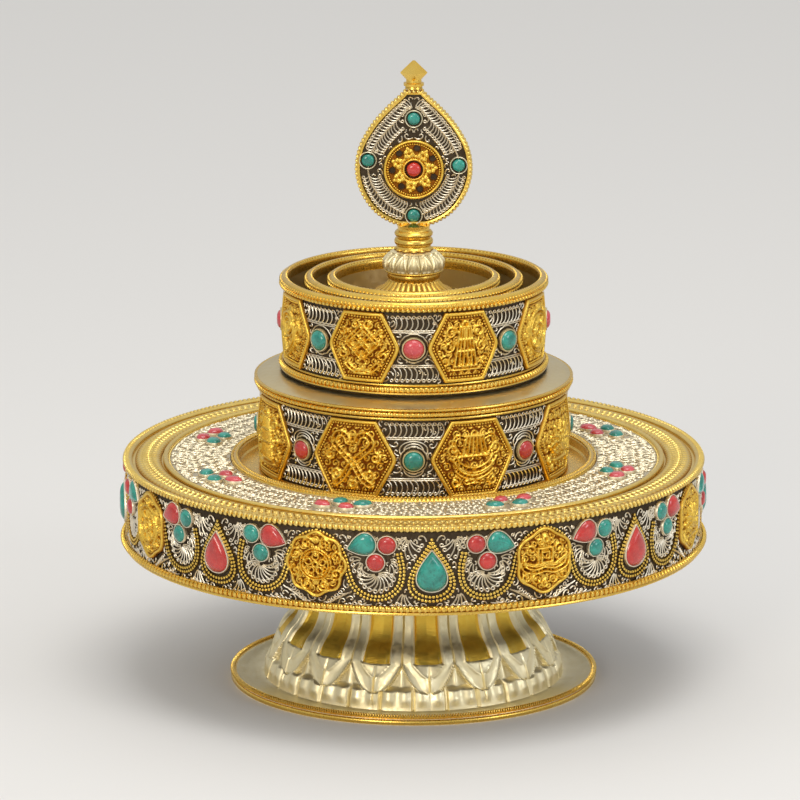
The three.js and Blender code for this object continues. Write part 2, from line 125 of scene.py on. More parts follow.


# %% [markdown]
# ## Metals
#
# Gilt brass is brass with a thin coat of gold, brushed by hand, so it is bright on every edge that a cloth
# can reach. Silver sheet is satin. The relief pieces below carry an attribute, from 0 on top to 1 in a
# hollow, and the metal reads it: gilt turns orange brown there, and silver sheet a warm grey. That darker
# colour is partly polish and tarnish left in the hollows and partly painted shade, where shade falls in
# hollows, gaps and undersides. It follows the shape, from every side.
#
# A metal's colour goes to Base Color with Metallic at 1, and the index of refraction is left alone. A
# patchy noise of a few millimetres varies the tone, and a finer one varies the roughness and lifts a
# slight bump.


# %% Metals
def metal(name, colour, shade, dirt_and_shade, roughness, patch_mm, grain_mm, bump_mm, stretch=(1, 1, 1)):
    """A metal: a main colour with patches of a shade, dirt and painted shade in its hollows, a grain and a
    small bump.
    """
    material, shader = new_material(name)
    tree = material.node_tree
    place = add(tree, "ShaderNodeTexCoord", {})["Object"]
    patches = add(tree, "ShaderNodeTexNoise", {"Vector": place, "Scale": 1 / (patch_mm * MM),
                                               "Detail": 3.0})[0]
    toned = add(
        tree, "ShaderNodeMix", {"Factor": patches, "A": linear(colour), "B": linear(shade)}, data_type="RGBA"
    )
    # Painted shade, partly tarnish: the hollow attribute mixes the colour towards the dark hollow colour.
    hollow = add(tree, "ShaderNodeAttribute", {}, attribute_name="recess")["Fac"]
    dirtied_and_shaded = add(tree, "ShaderNodeMix", {"Factor": hollow, "B": linear(dirt_and_shade)}, data_type="RGBA")
    tree.links.new(toned["Result"], dirtied_and_shaded["Result"].node.inputs["A"])
    drawn = add(tree, "ShaderNodeVectorMath", {0: place, 1: stretch}, operation="MULTIPLY")["Vector"]
    grain = add(tree, "ShaderNodeTexNoise", {"Vector": drawn, "Scale": 1 / (grain_mm * MM), "Detail": 4.0})[0]
    gloss = add(
        tree,
        "ShaderNodeMapRange",
        {"Value": grain, "From Min": 0.3, "From Max": 0.7, "To Min": roughness * 0.8,
         "To Max": roughness * 1.25},
    )[0]
    dull = add(tree, "ShaderNodeMath", {0: hollow, 1: 0.35, 2: gloss}, operation="MULTIPLY_ADD")[0]
    relief = add(tree, "ShaderNodeBump", {"Height": grain, "Strength": 0.35, "Distance": bump_mm * MM})[0]
    shader.inputs["Metallic"].default_value = 1.0
    tree.links.new(dirtied_and_shaded["Result"], shader.inputs["Base Color"])
    tree.links.new(dull, shader.inputs["Roughness"])
    tree.links.new(relief, shader.inputs["Normal"])
    return material


# The third colour of each metal is its hollows' colour: partly dirt and tarnish, partly painted shade.
gilt = metal("gilt_brass_brushed", "#F0D070", "#DEAF40", "#8A5414", 0.28, 9, 0.9, 0.12)
# A paler gilt for the wires on the drum's top and the medallion's beads: partly a paler tone, partly painted
# light, for the strong light from above.
gilt_pale = metal("gilt_wire_braid", "#F3DA86", "#E4BE5C", "#9A6420", 0.32, 7, 0.8, 0.1)
gilt_deep = metal("gilt_brass_chased", "#F2D062", "#DDAE3C", "#96581A", 0.32, 5, 0.8, 0.2)
gilt_scraped = metal("gilt_brass_scraped", "#FFE468", "#EFB83C", "#8A5014", 0.46, 8, 3.2, 0.4, (1, 1, 7))
silver_sheet = metal("silver_sheet_satin", "#E2D3A8", "#CDB988", "#6B6355", 0.36, 26, 2.4, 0.004)
silver_foot = metal("silver_foot_chased", "#FFF4D0", "#EEDFAC", "#A8986A", 0.46, 8, 1.8, 0.08)
silver_wire = metal("silver_filigree_wire", "#F3EAD8", "#D2C5A8", "#5A5040", 0.40, 4, 0.7, 0.05)
silver_bright = metal("silver_lace_wire", "#F0E6CC", "#DED0AC", "#6A6050", 0.48, 4, 0.7, 0.05)
silver_lace = metal("silver_lace_ground", "#D8CFB8", "#B8AE96", "#5A5142", 0.55, 3, 0.6, 0.2)
silver_ground = metal("silver_sheet_oxidised", "#5C5040", "#33291E", "#1E1914", 0.55, 3, 0.8, 0.15)
silver_warm = metal("silver_sheet_spun", "#F6E6BC", "#DEC78C", "#6B5F48", 0.38, 25, 2.4, 0.01)

# %% [markdown]
# ## Stones
#
# Turquoise is an opaque stone with a waxy polish. Its colour drifts from blue green to a darker green,
# with thin dark veins. Coral is an opaque red or pink with fine paler grain along it. Both are
# dielectrics: their colour goes to Base Color with Metallic at 0, and the polish is a low roughness with
# a clear coat of wax.


# %% Stones
def stone(name, colour, shade, vein, veins, cloud_mm, vein_mm):
    """A polished opaque stone: two colours in clouds, and veins where a second noise passes its middle."""
    material, shader = new_material(name)
    tree = material.node_tree
    place = add(tree, "ShaderNodeTexCoord", {})["Object"]
    cloud = add(tree, "ShaderNodeTexNoise", {"Vector": place, "Scale": 1 / (cloud_mm * MM), "Detail": 4.0})[0]
    contrast = add(tree, "ShaderNodeMapRange", {"Value": cloud, "From Min": 0.35, "From Max": 0.65})[0]
    body = add(
        tree, "ShaderNodeMix", {"Factor": contrast, "A": linear(colour), "B": linear(shade)}, data_type="RGBA"
    )
    crack = add(
        tree,
        "ShaderNodeTexNoise",
        {"Vector": place, "Scale": 1 / (vein_mm * MM), "Detail": 5.0, "Distortion": 1.2},
    )[0]
    away = add(tree, "ShaderNodeMath", {0: crack, 1: 0.5, 2: 0.0}, operation="SUBTRACT")[0]
    distance = add(tree, "ShaderNodeMath", {0: away}, operation="ABSOLUTE")[0]
    line = add(
        tree, "ShaderNodeMapRange", {"Value": distance, "From Min": 0.0, "From Max": 0.03, "To Min": veins,
                                     "To Max": 0.0}
    )[0]
    veined = add(tree, "ShaderNodeMix", {"Factor": line, "B": linear(vein)}, data_type="RGBA")
    tree.links.new(body["Result"], veined["Result"].node.inputs["A"])
    tree.links.new(veined["Result"], shader.inputs["Base Color"])
    shader.inputs["Roughness"].default_value = 0.22
    shader.inputs["IOR"].default_value = 1.6
    shader.inputs["Coat Weight"].default_value = 0.3
    shader.inputs["Coat Roughness"].default_value = 0.1
    return material


turquoise = stone("turquoise_polished", "#2C9C8A", "#167466", "#123F3A", 0.5, 5, 4)
coral = stone("coral_red_polished", "#C42C24", "#A6221E", "#D8745E", 0.2, 6, 3)
coral_pink = stone("coral_pink_polished", "#D04A50", "#B8363C", "#E8928C", 0.3, 5, 3)
print("materials:", len(bpy.data.materials))

# %% [markdown]
# ## Floor, world and lamps
#
# The photograph's studio isn't kept: the set stands on a plain pale floor. Metal shows what is round it,
# so the world is a pale grey that mirrors kindly, and three big soft lamps give the long highlights.
# Their strength is kept low, so that a colour comes out about as it was written.

# %% Floor, world and lamps
floor_mesh = bpy.data.meshes.new("floor")
half = 8.0
floor_mesh.from_pydata([(-half, -half, 0), (half, -half, 0), (half, half, 0), (-half, half, 0)], [],
                       [(0, 1, 2, 3)])
floor = bpy.data.objects.new("floor", floor_mesh)
bpy.context.collection.objects.link(floor)
paper, paper_shader = new_material("paper_floor_matt")
paper_shader.inputs["Base Color"].default_value = linear("#DEDCD8")
paper_shader.inputs["Roughness"].default_value = 0.9
floor_mesh.materials.append(paper)

world = bpy.data.worlds.new("studio")
bpy.context.scene.world = world
world.use_nodes = True
tree = world.node_tree
direction = add(tree, "ShaderNodeTexCoord", {})["Generated"]
rise = add(tree, "ShaderNodeSeparateXYZ", {"Vector": direction})["Z"]
level = add(tree, "ShaderNodeMapRange", {"Value": rise, "From Min": 0.0, "From Max": 0.75},
            interpolation_type="SMOOTHSTEP")
horizon, overhead = linear("#C4C5C8"), linear("#FFFFFF")
sky = add(tree, "ShaderNodeMix", {"Factor": level[0], "A": horizon, "B": overhead},
          data_type="RGBA")["Result"]
tree.links.new(sky, tree.nodes["Background"].inputs["Color"])
tree.nodes["Background"].inputs["Strength"].default_value = 0.8


def lamp(name, place, target, size, power, colour):
    """A square soft lamp at a place that shines at a target; metres and watts."""
    data = bpy.data.lights.new(name, "AREA")
    data.shape = "SQUARE"
    data.size = size
    data.energy = power
    data.color = linear(colour)[:3]
    lit = bpy.data.objects.new(name, data)
    lit.location = place
    aim = np.array(target) - np.array(place)
    turn = np.arctan2(aim[0], -aim[1])
    tilt = np.arccos(-aim[2] / np.linalg.norm(aim))
    lit.rotation_euler = (tilt, 0, turn + np.pi)
    bpy.context.collection.objects.link(lit)


lamp("key", (-1.1, -2.7, 1.2), (0, 0, 0.1), 0.9, 24, "#FFF6E8")
lamp("fill", (1.9, -1.3, 1.0), (0, 0, 0.15), 0.8, 9, "#F2F6FF")
lamp("top", (0.2, -0.7, 2.3), (0, 0, 0.1), 1.2, 19, "#FFFFFF")
bpy.context.scene.view_settings.view_transform = "Standard"

# %% [markdown]
# ## Shapes from arrays
#
# Every shape below is a set of points and triangles, worked out with numpy for all points at once. Most
# are grids: one parameter runs along the lines and one across them, and two triangles fill each cell. A
# grid that wraps in both directions is a ring. One that wraps in one direction is closed by a pole at
# each end.
#
# Angles start at the front of the set and grow towards its right. Lengths are millimetres until the mesh
# is made.


# %% Grids, turned shapes and pieces
def around(angle, radius, height):
    """Points at an angle from the front, in radians, a radius and a height: (r sin a, -r cos a, h)."""
    angle, radius, height = np.broadcast_arrays(angle, radius, height)
    return np.stack([radius * np.sin(angle), -radius * np.cos(angle), height], axis=-1).astype(float)


def grid_faces(rows, columns, wrap_rows=False, wrap_columns=True):
    """Two triangles for each cell of a grid. A wrapped direction joins its last line to its first."""
    here = np.arange(rows if wrap_rows else rows - 1)
    across = np.arange(columns if wrap_columns else columns - 1)
    a, b = (k.ravel() for k in np.meshgrid(here, across, indexing="ij"))
    c, d = (a + 1) % rows, (b + 1) % columns
    p, q, s, t = a * columns + b, a * columns + d, c * columns + d, c * columns + b
    return np.concatenate([np.stack([p, q, s], 1), np.stack([p, s, t], 1)])


def solid(points, faces, recess=None):
    """A shape as (points, faces, recess), with its faces turned over if its volume comes out negative."""
    points = np.asarray(points, float).reshape(-1, 3)
    faces = np.asarray(faces).reshape(-1, 3)
    corner = points[faces]
    if np.einsum("ij,ij->", corner[:, 0], np.cross(corner[:, 1], corner[:, 2])) < 0:
        faces = faces[:, ::-1]
    return points, faces, np.zeros(len(points)) if recess is None else np.asarray(recess, float).ravel()


def join(shapes):
    """Several shapes as one. Each one's face numbers move on past the points before it."""
    starts = np.cumsum([0] + [len(shape[0]) for shape in shapes[:-1]])
    faces = np.concatenate([shape[1] + start for shape, start in zip(shapes, starts)])
    return np.concatenate([s[0] for s in shapes]), faces, np.concatenate([s[2] for s in shapes])


def poled(grid, first, last, recess=None):
    """A grid whose columns wrap, with a fan of triangles from its first line and its last to a pole."""
    rows, columns = grid.shape[:2]
    here = np.arange(columns)
    there = (here + 1) % columns
    end = (rows - 1) * columns
    low = np.full(columns, rows * columns)
    fans = [np.stack([low, there, here], 1), np.stack([end + here, end + there, low + 1], 1)]
    points = np.concatenate([grid.reshape(-1, 3), [first, last]])
    if recess is not None:
        recess = np.concatenate([recess.ravel(), [recess[0].mean(), recess[-1].mean()]])
    return solid(points, np.concatenate([grid_faces(rows, columns), *fans]), recess)


def smooth(points, per=8, closed=False):
    """A Catmull-Rom curve: between b and c, half of 2b + (c-a)t + (2a-5b+4c-d)t^2 + (3b-a-3c+d)t^3."""
    p = np.asarray(points, float)
    ends = [p[-1:], p, p[:2]] if closed else [2 * p[:1] - p[1:2], p, 2 * p[-1:] - p[-2:-1]]
    p = np.concatenate(ends)[:, None]
    a, b, c, d = p[:-3], p[1:-2], p[2:-1], p[3:]
    t = (np.arange(per) / per)[None, :, None]
    line = (2 * b + (c - a) * t + (2 * a - 5 * b + 4 * c - d) * t**2 + (3 * b - a - 3 * c + d) * t**3) / 2
    line = line.reshape(-1, p.shape[-1])
    return line if closed else np.concatenate([line, p[-2]])


def turned(profile, steps=192):
    """A profile of (radius, height) turned about Z. One that starts and ends on the axis gets poles."""
    profile = np.asarray(profile, float)
    angle = np.arange(steps) * TURN / steps
    grid = around(angle[None], profile[:, :1], profile[:, 1:])
    if profile[0, 0] < 1e-6:
        return poled(grid[1:-1], (0, 0, profile[0, 1]), (0, 0, profile[-1, 1]))
    return solid(grid, grid_faces(len(profile), steps, True))


def piece(name, shape, finish, slot, body, stands_for=(), crease=35):
    """Makes a mesh object of a shape, smooth but for edges over the crease angle, and puts it on its body."""
    points, faces, recess = shape
    mesh = bpy.data.meshes.new(name)
    mesh.vertices.add(len(points))
    mesh.vertices.foreach_set("co", (points * MM).astype(np.float32).ravel())
    mesh.loops.add(faces.size)
    mesh.loops.foreach_set("vertex_index", faces.astype(np.int32).ravel())
    mesh.polygons.add(len(faces))
    mesh.polygons.foreach_set("loop_start", np.arange(0, faces.size, 3, dtype=np.int32))
    mesh.update(calc_edges=True)
    mesh.shade_smooth()
    mesh.set_sharp_from_angle(angle=np.radians(crease))
    # Each point's share of the dark hollow colour: partly dirt, partly painted shade.
    mesh.attributes.new("recess", "FLOAT", "POINT").data.foreach_set("value", recess.astype(np.float32))
    mesh.materials.append(finish)
    made = bpy.data.objects.new(name, mesh)
    bpy.context.collection.objects.link(made)
    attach(made, body)
    if stands_for:
        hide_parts(*stands_for)
    low, high = points[:, 2].min(), points[:, 2].max()
    print(f"{name}: {len(faces)} triangles, heights {low:.1f} to {high:.1f} mm")


# %% [markdown]
# ## Surfaces that patterns lie on
#
# A pattern is drawn flat first, in millimetres to the right, upwards, and out of the surface. A small
# function for each surface then bends it: a round wall, a flat top, or the upright medallion.


# %% Surfaces that patterns lie on
def on_wall(radius, angle, height):
    """Bends flat points onto a round wall: to the right becomes an angle of x / radius."""
    return lambda p: around(angle + p[..., 0] / radius, radius + p[..., 2], height + p[..., 1])


def on_top(radius, angle, height):
    """Bends flat points onto a level top: y runs outwards from a radius, and out of the surface is up."""
    return lambda p: around(angle + p[..., 0] / radius, radius + p[..., 1], height + p[..., 2])


def on_face(height, front):
    """Stands flat points up on the medallion's front, or on its back for front = -1."""
    return lambda p: np.stack([front * p[..., 0], -front * p[..., 2], height + p[..., 1]], axis=-1)


def lifted(flat, lift):
    """Flat points with a third number, how far they stand out of the surface."""
    third = np.broadcast_to(np.asarray(lift, float)[..., None], (*flat.shape[:-1], 1))
    return np.concatenate([flat, third], -1)


# %% [markdown]
# ## Wire and beads
#
# Filigree is drawn wire, bent with pliers and soldered on edge. Hundreds of wires share one function: all
# their paths are one array, and each gets a square section that stands on the surface. Beaded wire is
# rolled between grooved plates, so it is a row of balls that almost touch. A ball repeated thousands of
# times has a few dozen faces, because it is a pixel or two wide in the picture.


# %% Wire and beads
def unit(vectors):
    """Vectors of length one."""
    return vectors / np.maximum(np.linalg.norm(vectors, axis=-1, keepdims=True), 1e-9)


def wires(flat, surface, radius, lift=0.0, sides=4):
    """Wires along many flat paths: round each point, r (cos u across + sin u up), closed at both ends."""
    paths = surface(lifted(flat, lift))
    outs = surface(lifted(flat, lift + 1)) - paths
    tangents = unit(np.gradient(paths, axis=1))
    across = unit(np.cross(tangents, outs))[:, :, None]
    up = np.cross(across, tangents[:, :, None])
    turn = (np.arange(sides) * TURN / sides)[:, None]
    points = paths[:, :, None] + radius * (np.cos(turn) * across + np.sin(turn) * up)
    count, steps = paths.shape[:2]
    fan = np.arange(1, sides - 1)
    caps = [np.stack([0 * fan, fan + 1, fan], 1), np.stack([0 * fan, fan, fan + 1], 1) + (steps - 1) * sides]
    one = np.concatenate([grid_faces(steps, sides), *caps])
    return solid(points, one[None] + (np.arange(count) * steps * sides)[:, None, None])


def ball(columns, rings):
    """A ball of radius one: rings at even angles between two poles."""
    tilt = (np.arange(rings) + 1)[:, None] * np.pi / (rings + 1)
    turn = np.arange(columns) * TURN / columns
    across = np.sin(tilt) * np.cos(turn), np.sin(tilt) * np.sin(turn)
    return poled(np.stack([*across, np.cos(tilt) + 0 * turn], -1), (0, 0, 1), (0, 0, -1))


def spaced(path, pitch, closed=False):
    """Points at an even pitch along a path, found on its running length."""
    path = np.concatenate([path, path[:1]]) if closed else np.asarray(path, float)
    run = np.concatenate([[0], np.cumsum(np.linalg.norm(np.diff(path, axis=0), axis=1))])
    count = max(int(round(run[-1] / pitch)), 2)
    places = np.arange(count + (not closed)) * run[-1] / count
    return np.stack([np.interp(places, run, path[:, k]) for k in range(path.shape[1])], axis=1)


def balls(line, ahead, surface, size, lift, columns, rings):
    """A ball at each point of a flat line. Its size is its half lengths along, across and outwards."""
    centre = surface(lifted(line, lift))
    out = unit(surface(lifted(line, lift + 1)) - centre)
    along = unit(surface(lifted(line + 0.01 * ahead, lift)) - centre)
    axes = np.stack([along, unit(np.cross(out, along)), out], axis=1) * np.asarray(size, float)[:, None]
    points, faces, _ = ball(columns, rings)
    placed = centre[:, None] + np.einsum("kb,nbc->nkc", points, axes)
    return solid(placed, faces[None] + (np.arange(len(line)) * len(points))[:, None, None])


def beads(flat, surface, pitch, size, lift, closed=False, columns=6, rings=3):
    """Beaded wire along a flat path."""
    line = spaced(flat, pitch, closed)
    ahead = np.roll(line, -1, 0) - np.roll(line, 1, 0) if closed else np.gradient(line, axis=0)
    return balls(line, ahead, surface, size, lift, columns, rings)


def bead_ring(radius, height, pitch, size, columns=6, rings=3):
    """A ring of beaded wire about the Z axis."""
    count = round(TURN * radius / pitch)
    line = np.stack([np.arange(count) * TURN * radius / count, np.zeros(count)], axis=1)
    return balls(line, np.array([1.0, 0.0]), on_wall(radius, 0, height), size, 0.0, columns, rings)


def tube_ring(radius, height, wide, tall, steps=192, sides=14):
    """A ring of plain wire with an oval section: radius + w cos u, height + t sin u."""
    turn = np.arange(sides) * TURN / sides
    return turned(np.stack([radius + wide * np.cos(turn), height + tall * np.sin(turn)], 1), steps)


# %% [markdown]
# ## Curls and tines
#
# A tine runs out with an even bend and ends in an eye, as a feather's barb does. A curl leaves straight
# and rolls up. Tines are tried at several lengths, and each keeps the longest with which it meets no
# stone, bead line or edge. What room is left goes to small scrolls, which also keep clear of all the
# wires before them.


# %% Curls, tines and what they keep clear of
def walk(starts, angles, lengths):
    """Flat paths from their starts: each step's length along its angle, summed."""
    moves = np.cumsum(np.stack([np.cos(angles), np.sin(angles)], -1) * lengths[..., None], axis=1)
    return starts[:, None] + np.concatenate([np.zeros((len(starts), 1, 2)), moves], axis=1)


def curls(starts, headings, lengths, turns, steps=12):
    """Flat wires that leave straight and roll up: heading(t) = h + turn (0.3 t + 0.7 t^3)."""
    starts = np.asarray(starts, float)
    headings, lengths, turns = (
        np.broadcast_to(np.asarray(k, float), len(starts)) for k in (headings, lengths, turns)
    )
    t = (np.arange(steps - 1) + 0.5) / (steps - 1)
    angles = headings[:, None] + turns[:, None] * (0.3 * t + 0.7 * t**3)
    return walk(starts, angles, np.broadcast_to(lengths[:, None] / (steps - 1), angles.shape))


def tines(starts, headings, reaches, bends, eye=0.8, steps=15):
    """Flat wires that run out with an even bend, and end in an eye: a tight turn of 4.9 radians."""
    starts = np.asarray(starts, float)
    headings, reaches, bends = (
        np.broadcast_to(np.asarray(k, float), len(starts))[:, None] for k in (headings, reaches, bends)
    )
    shaft = (steps - 1) // 2
    t = np.arange(steps - 1) + 0.5
    out = np.clip(t / shaft, 0, 1)
    rolled = np.clip((t - shaft) / (steps - 1 - shaft), 0, 1)
    angles = headings + bends * out + np.sign(bends) * 4.9 * rolled
    lengths = np.where(t < shaft, reaches / shaft, 4.9 * eye / (steps - 1 - shaft))
    return walk(starts, angles, lengths + 0 * angles)


def fitted(starts, headings, reaches, bends, eye, blocked):
    """Tines that each take the longest of several reaches with which they meet nothing."""
    starts = np.asarray(starts, float)
    left = np.ones(len(starts), bool)
    made = []
    for reach in reaches:
        paths = tines(starts, headings, reach, bends, eye)
        free = left & ~blocked(paths[:, 1:]).any(1)
        made.append(paths[free])
        left &= ~free
    return np.concatenate(made)


def fillers(low, high, pitch, blocked, taken, room, seed):
    """Small scrolls on a grid with a little chance in it, each kept where it is clear of all before it."""
    chance = np.random.default_rng(seed)
    columns, rows = (np.arange(low[k], high[k], pitch) for k in (0, 1))
    x, y = (k.ravel() for k in np.meshgrid(columns, rows))
    starts = np.stack([x, y], 1) + pitch * 0.3 * (chance.random((len(x), 2)) - 0.5)
    made = []
    used = np.concatenate([path.reshape(-1, 2) for path in taken])
    for length, turn in ((7.4, 5.6), (5.2, 5.0), (3.4, 4.4), (2.2, 3.2)):
        side = np.where(chance.random(len(x)) < 0.5, -1.0, 1.0)
        paths = curls(starts, TURN * chance.random(len(x)), length, turn * side, 15)
        for path in paths[~blocked(paths).any(1)]:
            if ((path[:, None] - used) ** 2).sum(-1).min() > room**2:
                made.append(path)
                used = np.concatenate([used, path])
    return np.array(made).reshape(-1, 15, 2)


def near_path(points, path):
    """The distance from each point to the nearest corner of a path."""
    return np.sqrt(((points[..., None, :] - path) ** 2).sum(-1)).min(-1)


def inside_outline(points, line):
    """True where a point is inside a closed outline, by counting the edges that a level ray crosses."""
    a, b = line, np.roll(line, -1, 0)
    x, y = points[..., 0:1], points[..., 1:2]
    spans = (a[:, 1] > y) != (b[:, 1] > y)
    slope = (b[:, 0] - a[:, 0]) / np.where(b[:, 1] == a[:, 1], 1e-9, b[:, 1] - a[:, 1])
    return (spans & (x < a[:, 0] + (y - a[:, 1]) * slope)).sum(-1) % 2 == 1


def fold(flat):
    """The mirror image of a flat pattern beside the pattern itself."""
    return np.concatenate([flat, flat * [-1, 1]])


# %% [markdown]
# ## Stones in their bezels
#
# A cabochon is a domed stone with a flat back. It is held by a bezel, a strip of silver that stands round
# it and is pressed over its edge. Both follow one flat outline: a circle, an oval or a drop. The dome is
# that outline shrunk level by level, fuller than a quarter ellipse, and the bezel is a small section
# swept round it.


# %% Outlines, cabochons and bezels
def oval(width, height, steps=24):
    """An ellipse as a closed outline."""
    t = np.arange(steps) * TURN / steps
    return np.stack([width / 2 * np.cos(t), height / 2 * np.sin(t)], 1)


def drop(width, height, steps=32, point=1.6):
    """A drop with its tip up: x = w/2 sin t (sin t/2)^m scaled to the width, y = h/2 cos t."""
    t = np.arange(steps) * TURN / steps
    side = np.sin(t) * np.abs(np.sin(t / 2)) ** point
    return np.stack([width / 2 * side / np.abs(side).max(), height / 2 * np.cos(t)], 1)


def moved(outline, place, turn=0.0):
    """An outline turned by an angle and moved to a place."""
    c, s = np.cos(turn), np.sin(turn)
    return outline @ np.array([[c, s], [-s, c]]) + np.asarray(place)


def grown(outline, distance):
    """An outline moved outwards by a distance along its own normals."""
    ahead = unit(np.roll(outline, -1, 0) - np.roll(outline, 1, 0))
    normal = np.stack([ahead[:, 1], -ahead[:, 0]], 1)
    area = np.sum(outline[:, 0] * np.roll(outline[:, 1], -1) - outline[:, 1] * np.roll(outline[:, 0], -1))
    return outline + normal * distance * np.sign(area)


def cabochon(outline, surface, base, height, levels=6):
    """A dome over an outline: at level u the outline is scaled by (cos u)^0.6 and lifted by h sin u."""
    middle = outline.mean(0)
    u = np.linspace(0, np.pi / 2, levels, endpoint=False)
    flat = middle + (outline - middle) * (np.cos(u) ** 0.6)[:, None, None]
    grid = lifted(flat, np.broadcast_to((base + height * np.sin(u))[:, None], flat.shape[:2]))
    grid = np.concatenate([lifted(outline, base - 0.4)[None], grid])
    ends = surface(lifted(np.stack([middle, middle]), np.array([base - 0.4, base + height])))
    return poled(surface(grid), *ends)


def bezel(outline, surface, base, wall=0.75, height=1.5):
    """A strip round an outline: a small rounded section of wall and height swept along it."""
    section = [(-0.15, 0), (wall, 0), (wall * 1.05, height * 0.7), (wall * 0.7, height), (0.1, height * 1.02)]
    section = section + [(-0.2, height * 0.8)]
    grid = np.stack([surface(lifted(grown(outline, out), base + up)) for out, up in section])
    return solid(grid, grid_faces(len(section), len(outline), True))


def set_stone(outline, surface, base, height, wall=0.75, strip=1.5):
    """A stone and its bezel, as a pair of shapes."""
    return cabochon(outline, surface, base + 0.5, height), bezel(outline, surface, base, wall, strip)


# %% [markdown]
# ## The lotus foot
#
# The foot is a trumpet of spun silver, chased into sixteen tall petals. Each petal has a deep channel
# between two pairs of ridges, and ends low down in an ogee tip. Behind the tips stands a second row of
# short lobes, and then a shallow dish runs out to the rim. All of it is one surface: a profile gives the
# radius at each height, and a relief says how far the skin stands out at each angle. The channels are
# gilt, and each gets its own skin of gold, so that its edge is sharp.

# %% Lotus foot
PETALS = 16
LOBES = 28
FOOT_TURN = np.radians(6.4)
PETAL_TIP = 10.2
FORK = 22.6
INNER_TIP = 17.1
CHANNEL_END = 22.8
CHANNEL_SHARE = 0.54
_, foot_top, foot_rim = span("lotus_foot")


def ease(x, low, high):
    """A smooth step: 0 below low, 1 above high, and 3t^2 - 2t^3 between."""
    t = np.clip((x - low) / (high - low), 0, 1)
    return t * t * (3 - 2 * t)


def petal_share(angle, count):
    """0 on the middle line of one of count petals and 1 on the line between two."""
    return np.abs((angle * count / TURN + 0.5) % 1 - 0.5) * 2


def foot_relief(angle, height):
    """How far the skin stands out: a channel in an edge, a band from edge to outline, and lobes."""
    share = petal_share(angle, PETALS) + 0 * height
    outline = np.clip((height - PETAL_TIP) / (FORK - PETAL_TIP), 1e-6, 1) ** 0.42
    edge = 0.56 * np.clip((height - INNER_TIP) / (CHANNEL_END + 0.6 - INNER_TIP), 1e-6, 1) ** 0.8
    along = (share - edge) / np.maximum(outline - edge, 1e-3)
    free = np.interp(along, [0, 0.12, 0.25, 0.6, 0.85, 0.93, 1.0], [1.4, 1.3, 0.7, 0.2, 0.5, 1.3, 1.0])
    joined = np.interp(along, [0, 0.12, 0.25, 0.6, 0.93, 1.0], [1.4, 1.3, 0.8, 0.6, 0.3, -1.0])
    band = free + (joined - free) * ease(height, FORK - 1, FORK + 1.5)
    hollow = np.interp(share / CHANNEL_SHARE, [0, 0.55, 0.87, 0.96, 1.04], [-2.9, -2.2, -1.6, -0.4, 1.4])
    shallow = 1 - ease(height, CHANNEL_END, CHANNEL_END + 11)
    hollow = hollow + 2.6 * shallow * (1 - ease(share, 0.4, CHANNEL_SHARE))
    facet = 0.7 + 0.5 * share / np.maximum(edge, 1e-3) - 0.4 * (1 - ease(share, 0, 0.04))
    lip = CHANNEL_END + 0.5 * (share / CHANNEL_SHARE) ** 2
    inside = facet + (hollow - facet) * ease(height - lip, -0.2, 0.3)
    lobe = petal_share(angle, LOBES) + 0 * height
    pads = 1.1 * np.sin(np.pi * lobe) ** 2 * ease(height, 3.5, 8.0)
    pillow = (1.9 + pads) * ease(1 - lobe, 0, 0.14) * (1 - ease(height, 10.8, 13.4))
    behind = -1.3 + pillow + 0.7 * ease(share, 0.86, 1) * ease(height, 11.5, 14)
    petal = np.where(share < edge, inside, band)
    return behind + (petal - behind) * ease(outline - share, -0.03, 0.03)


foot_side = smooth(
    [(60.5, foot_top), (56.5, 61), (54, 54), (53.2, 46), (54.2, 38), (57.2, 32), (61.2, 27.5), (64.2, 22),
     (66.6, 16), (68.3, 11), (69.8, 7), (71.0, 2.6)], 10)
foot_side = np.concatenate([spaced(foot_side[:56], 1.4)[:-1], spaced(foot_side[55:], 0.48)])
dish = smooth([(72.6, 2.1), (76, 1.9), (80.5, 2.5), (84, 3.9), (85.6, 3.7), (86.4, 2.4),
               (foot_rim - 0.4, 1.8),
               (foot_rim - 0.2, 1), (foot_rim - 0.6, 0)], 3)
under = smooth([(83, 0), (79, 0.6), (72, 0.9), (65, 2.4), (62.6, 14), (58, 24), (51.6, 33), (48.6, 44),
                (49.6, 54),
                (56, foot_top)], 2)
columns = np.arange(PETALS * 40) * TURN / (PETALS * 40)
turned_columns = columns + FOOT_TURN
foot_forms = foot_relief(columns[None], foot_side[:, 1:])
outer_grid = around(turned_columns[None], foot_side[:, :1] + foot_forms, foot_side[:, 1:])
rest = np.concatenate([dish, under])
rest_grid = around(turned_columns[None], rest[:, :1], rest[:, 1:])
# Painted shade, partly tarnish: the deep grooves between the petals, away from the gilt channels, take up to
# 0.6 of the dark hollow colour.
groove_dirt_shade = np.clip(-foot_forms - 0.9, 0, 0.6) * (petal_share(columns, PETALS) > CHANNEL_SHARE + 0.1)
foot_dirt_shade = np.concatenate([groove_dirt_shade, np.zeros(rest_grid.shape[:2])])
foot_grid = np.concatenate([outer_grid, rest_grid])
lotus_foot = solid(foot_grid, grid_faces(len(foot_grid), len(columns), True), foot_dirt_shade)
piece("foot_petals", lotus_foot, silver_foot, "silver", "stand", ["lotus_foot"], 40)


def channel(middle):
    """The gold skin of one channel: a patch of the foot's surface, 0.2 mm proud of it."""
    u = np.linspace(-1, 1, 15)[None]
    v = np.linspace(0, 1, 44)[:, None]
    share = (CHANNEL_SHARE - 0.025) * u
    low = CHANNEL_END + 0.15 + 0.5 * u**2
    height = foot_top - 0.1 - v * (foot_top - 0.1 - low)
    angle = middle + share * np.pi / PETALS
    skin = np.interp(height, foot_side[::-1, 1], foot_side[::-1, 0]) + foot_relief(angle, height)
    front, back = (around(angle + FOOT_TURN, skin + out, height) for out in (0.2, -0.5))
    grid = np.concatenate([front, back[:, ::-1]], axis=1)
    ends = grid.mean(axis=1)
    return poled(grid, ends[0], ends[-1])


